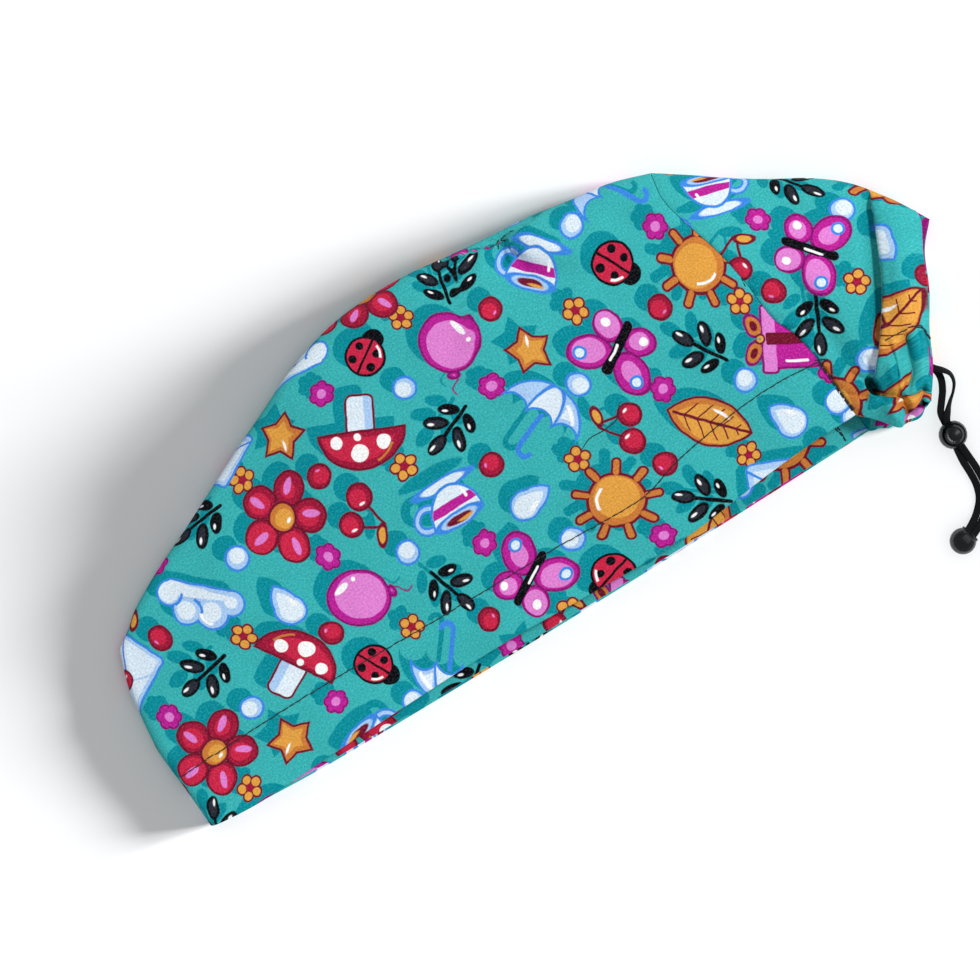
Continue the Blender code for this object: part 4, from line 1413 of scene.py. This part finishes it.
def finished(shader, colour, roughness, specular=0.5, sheen=0.0):
    """Give a shader its colour and its gloss."""
    colour.tree.links.new(colour.socket, shader.inputs["Base Color"])
    if isinstance(roughness, Value):
        colour.tree.links.new(roughness.socket, shader.inputs["Roughness"])
    else:
        shader.inputs["Roughness"].default_value = roughness
    shader.inputs["Specular IOR Level"].default_value = specular
    shader.inputs["Sheen Weight"].default_value = sheen


def bumped(shader, height, distance, strength=1.0):
    bump = height.tree.nodes.new("ShaderNodeBump")
    bump.inputs["Distance"].default_value = distance
    bump.inputs["Strength"].default_value = strength
    height.tree.links.new(height.socket, bump.inputs["Height"])
    height.tree.links.new(bump.outputs[0], shader.inputs["Normal"])


def ribbed(plane, pitch):
    """Round ribs, from -1 to 1, this far apart along the plane's coordinate."""
    return (plane * (2 * math.pi / pitch)).math("SINE")


def cotton(name, dye, wrong_side):
    """Printed cotton, or its paler wrong side."""
    material, tree, shader = new_material(name)
    place = on_map(tree, "print")
    group = tree.nodes.new("ShaderNodeGroup")
    group.node_tree = dye
    tree.links.new(place.socket, group.inputs[0])
    colour = Value(tree, group.outputs[0])
    if wrong_side:
        colour = mixed(colour, WRONG_SIDE, place.part(0, 0) + WRONG_SIDE_SHARE)
    slub = noise_texture(place, SLUB_SCALE, 2.0)
    blotch = noise_texture(place, BLOTCH_SCALE, 1.0)
    tone = slub.math("MULTIPLY_ADD", SLUB_DEPTH, 1 - SLUB_DEPTH / 2) * blotch.math(
        "MULTIPLY_ADD", BLOTCH_DEPTH, 1 - BLOTCH_DEPTH / 2
    )
    tint = place.node("ShaderNodeCombineXYZ", None, {0: tone, 1: tone, 2: tone})
    pale = slub.math("MULTIPLY_ADD", 3.0, -1.45, clamp=True) * 0.045
    colour = mixed(colour.vector("MULTIPLY", tint), FIBRE, pale)
    finished(shader, colour, 0.88, 0.05, 0.01)
    weave = ribbed(place.part(1, 0), WEAVE_PITCH) * ribbed(place.part(0, 1), WEAVE_PITCH)
    bumped(shader, (weave * 0.5 + 0.5) * 0.7 + slub * 0.6, WEAVE_RELIEF, 0.8)
    return material


def thread_material():
    material, tree, shader = new_material("black_thread")
    fuzz = noise_texture(source(tree, "ShaderNodeNewGeometry", "Position"), 4200.0, 1.0)
    finished(shader, mixed(*THREAD, fuzz), 0.72)
    return material


def elastic_material():
    """Black braided elastic: slanted ribs on both sides of a middle line, over its cords."""
    material, tree, shader = new_material("woven_elastic")
    place = on_map(tree, "weave")
    across, along = place.part(0, 1), place.part(1, 0)
    ribs = ribbed(along + across.math("ABSOLUTE") * 0.9, 0.8) * 0.5 + 0.5
    cords = ribbed(across, 0.62) * 0.5 + 0.5
    height = ribs * 0.7 + cords * 0.5
    fuzz = noise_texture(place, 3.0, 2.0)
    # Painted shade: the elastic's colour is darker in the grooves between ribs and cords and
    # lighter on their tops, mixed with random fuzz in tone
    shade = (height * 0.5 + fuzz * 0.5).math("MULTIPLY_ADD", 1.0, -0.1, clamp=True)
    finished(shader, mixed(*ELASTIC, shade), 0.8, 0.15, 0.02)
    bumped(shader, height, 0.00016)
    return material


def plastic_material():
    """Glossy black plastic with a raised ring on the face that looks up."""
    material, tree, shader = new_material("glossy_black_plastic")
    smear = noise_texture(source(tree, "ShaderNodeTexCoord", "Object"), 260.0, 2.0)
    finished(shader, mixed(*PLASTIC, smear), smear * 0.16 + 0.22, 0.35)
    boxed = source(tree, "ShaderNodeTexCoord", "Generated").vector("MULTIPLY", (1.0, 1.0, 0.0))
    reach = boxed.vector("DISTANCE", (0.5, 0.5, 0.0), output=1)
    ring = ((reach - 0.385).math("ABSOLUTE") * (-1 / 0.06) + 1.0).math("MAXIMUM", 0.0)
    bumped(shader, ring + smear * 0.04, 0.0007, 0.9)
    return material


def make_cords(mouth):
    """Both strands, each attached to the cap in place of its imported part."""
    elastic = elastic_material()
    for name, node, lead, side, twist in (
        ("straight_strand", "drawcord_straight", STRAIGHT_LEAD, -1, STRAIGHT_TWIST),
        ("bow_strand", "drawcord_bow", BOW_LEAD, 1, BOW_TWIST),
    ):
        strand, path = flat_cord(name, lead, side, twist, mouth, elastic)
        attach(strand, "cap")
        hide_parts(node)
        path[::4].tolist() + [path[-1].tolist()]


def set_camera():
    camera = bpy.data.objects.new("camera", bpy.data.cameras.new("camera"))
    bpy.context.scene.collection.objects.link(camera)
    camera.data.sensor_width = SENSOR_WIDTH
    camera.data.lens = SENSOR_WIDTH * CAMERA_DISTANCE / PICTURE_WIDTH
    camera.location = (*PICTURE_CENTRE, PICTURE_LEVEL + CAMERA_DISTANCE)
    camera.rotation_euler = (0.0, 0.0, PICTURE_TURN)
    bpy.context.scene.camera = camera


def in_picture(right, up):
    """The world direction of a direction in the picture."""
    c, s = math.cos(PICTURE_TURN), math.sin(PICTURE_TURN)
    return np.array((right * c - up * s, right * s + up * c))


def sun_light(name, right, up, elevation, width, power):
    """A far, soft light that comes from a direction in the picture."""
    light = bpy.data.lights.new(name, "SUN")
    light.energy = power
    light.angle = math.radians(width)
    made = bpy.data.objects.new(name, light)
    bpy.context.scene.collection.objects.link(made)
    level = in_picture(right, up) / math.hypot(right, up) * math.cos(math.radians(elevation))
    way = Vector((*level, math.sin(math.radians(elevation))))
    made.rotation_euler = way.to_track_quat("Z", "Y").to_euler()
    return made


def only_for(light, shone_on, held_by=()):
    """The light falls on these objects alone; if others are named, only they shade it."""
    group = bpy.data.collections.new(light.name + "_falls_on")
    for made in shone_on:
        group.objects.link(made)
    light.light_linking.receiver_collection = group
    if held_by:
        shades = bpy.data.collections.new(light.name + "_held_by")
        for made in held_by:
            shades.objects.link(made)
        light.light_linking.blocker_collection = shades


def set_stage(cloths):
    """A pale table, low side light that only the cloths shade, a light on the cap, and a sky."""
    material, tree, shader = new_material("white_table")
    place = source(tree, "ShaderNodeNewGeometry", "Position")
    finished(shader, mixed(*TABLE, noise_texture(place, 3.0, 1.0)), 0.9, 0.1)
    far = TABLE_HALF_SIZE
    corners = [(-far, -far, 0.0), (far, -far, 0.0), (far, far, 0.0), (-far, far, 0.0)]
    table = mesh_object("table_top", corners, [(0, 1, 2, 3)], [material])
    table.location = (0, 0, -TABLE_DROP)
    table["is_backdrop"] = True
    world = bpy.data.worlds.new("sky")
    world.use_nodes = True
    background = world.node_tree.nodes["Background"]
    background.inputs["Color"].default_value = SKY_COLOUR
    background.inputs["Strength"].default_value = SKY_STRENGTH
    bpy.context.scene.world = world
    for light in TABLE_LIGHTS:
        only_for(sun_light(*light), [table], cloths)
    only_for(sun_light(*CAP_LIGHT), [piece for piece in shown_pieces() if piece != table])
    bpy.context.scene.view_settings.view_transform = "Standard"


def main():
    set_camera()
    make_cords(Curve(BACK_FOLD)(BUTTONHOLE_ALONG_FOLD) * MM + PLAN_ORIGIN)
    dye = print_group()
    cloths = make_panels([cotton("printed_cotton", dye, False), cotton("cotton_inside", dye, True)])
    for cloth, node in zip(cloths, ("front_panel", "back_panel")):
        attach(cloth, "cap")
        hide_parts(node)
    threads = sew(cloths, thread_material())
    for thread in threads:
        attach(thread, "cap")
    plastic = plastic_material()
    for name in FITTINGS:
        for held in bpy.data.objects[name].material_slots:
            held.material = plastic
    set_stage(cloths)


main()
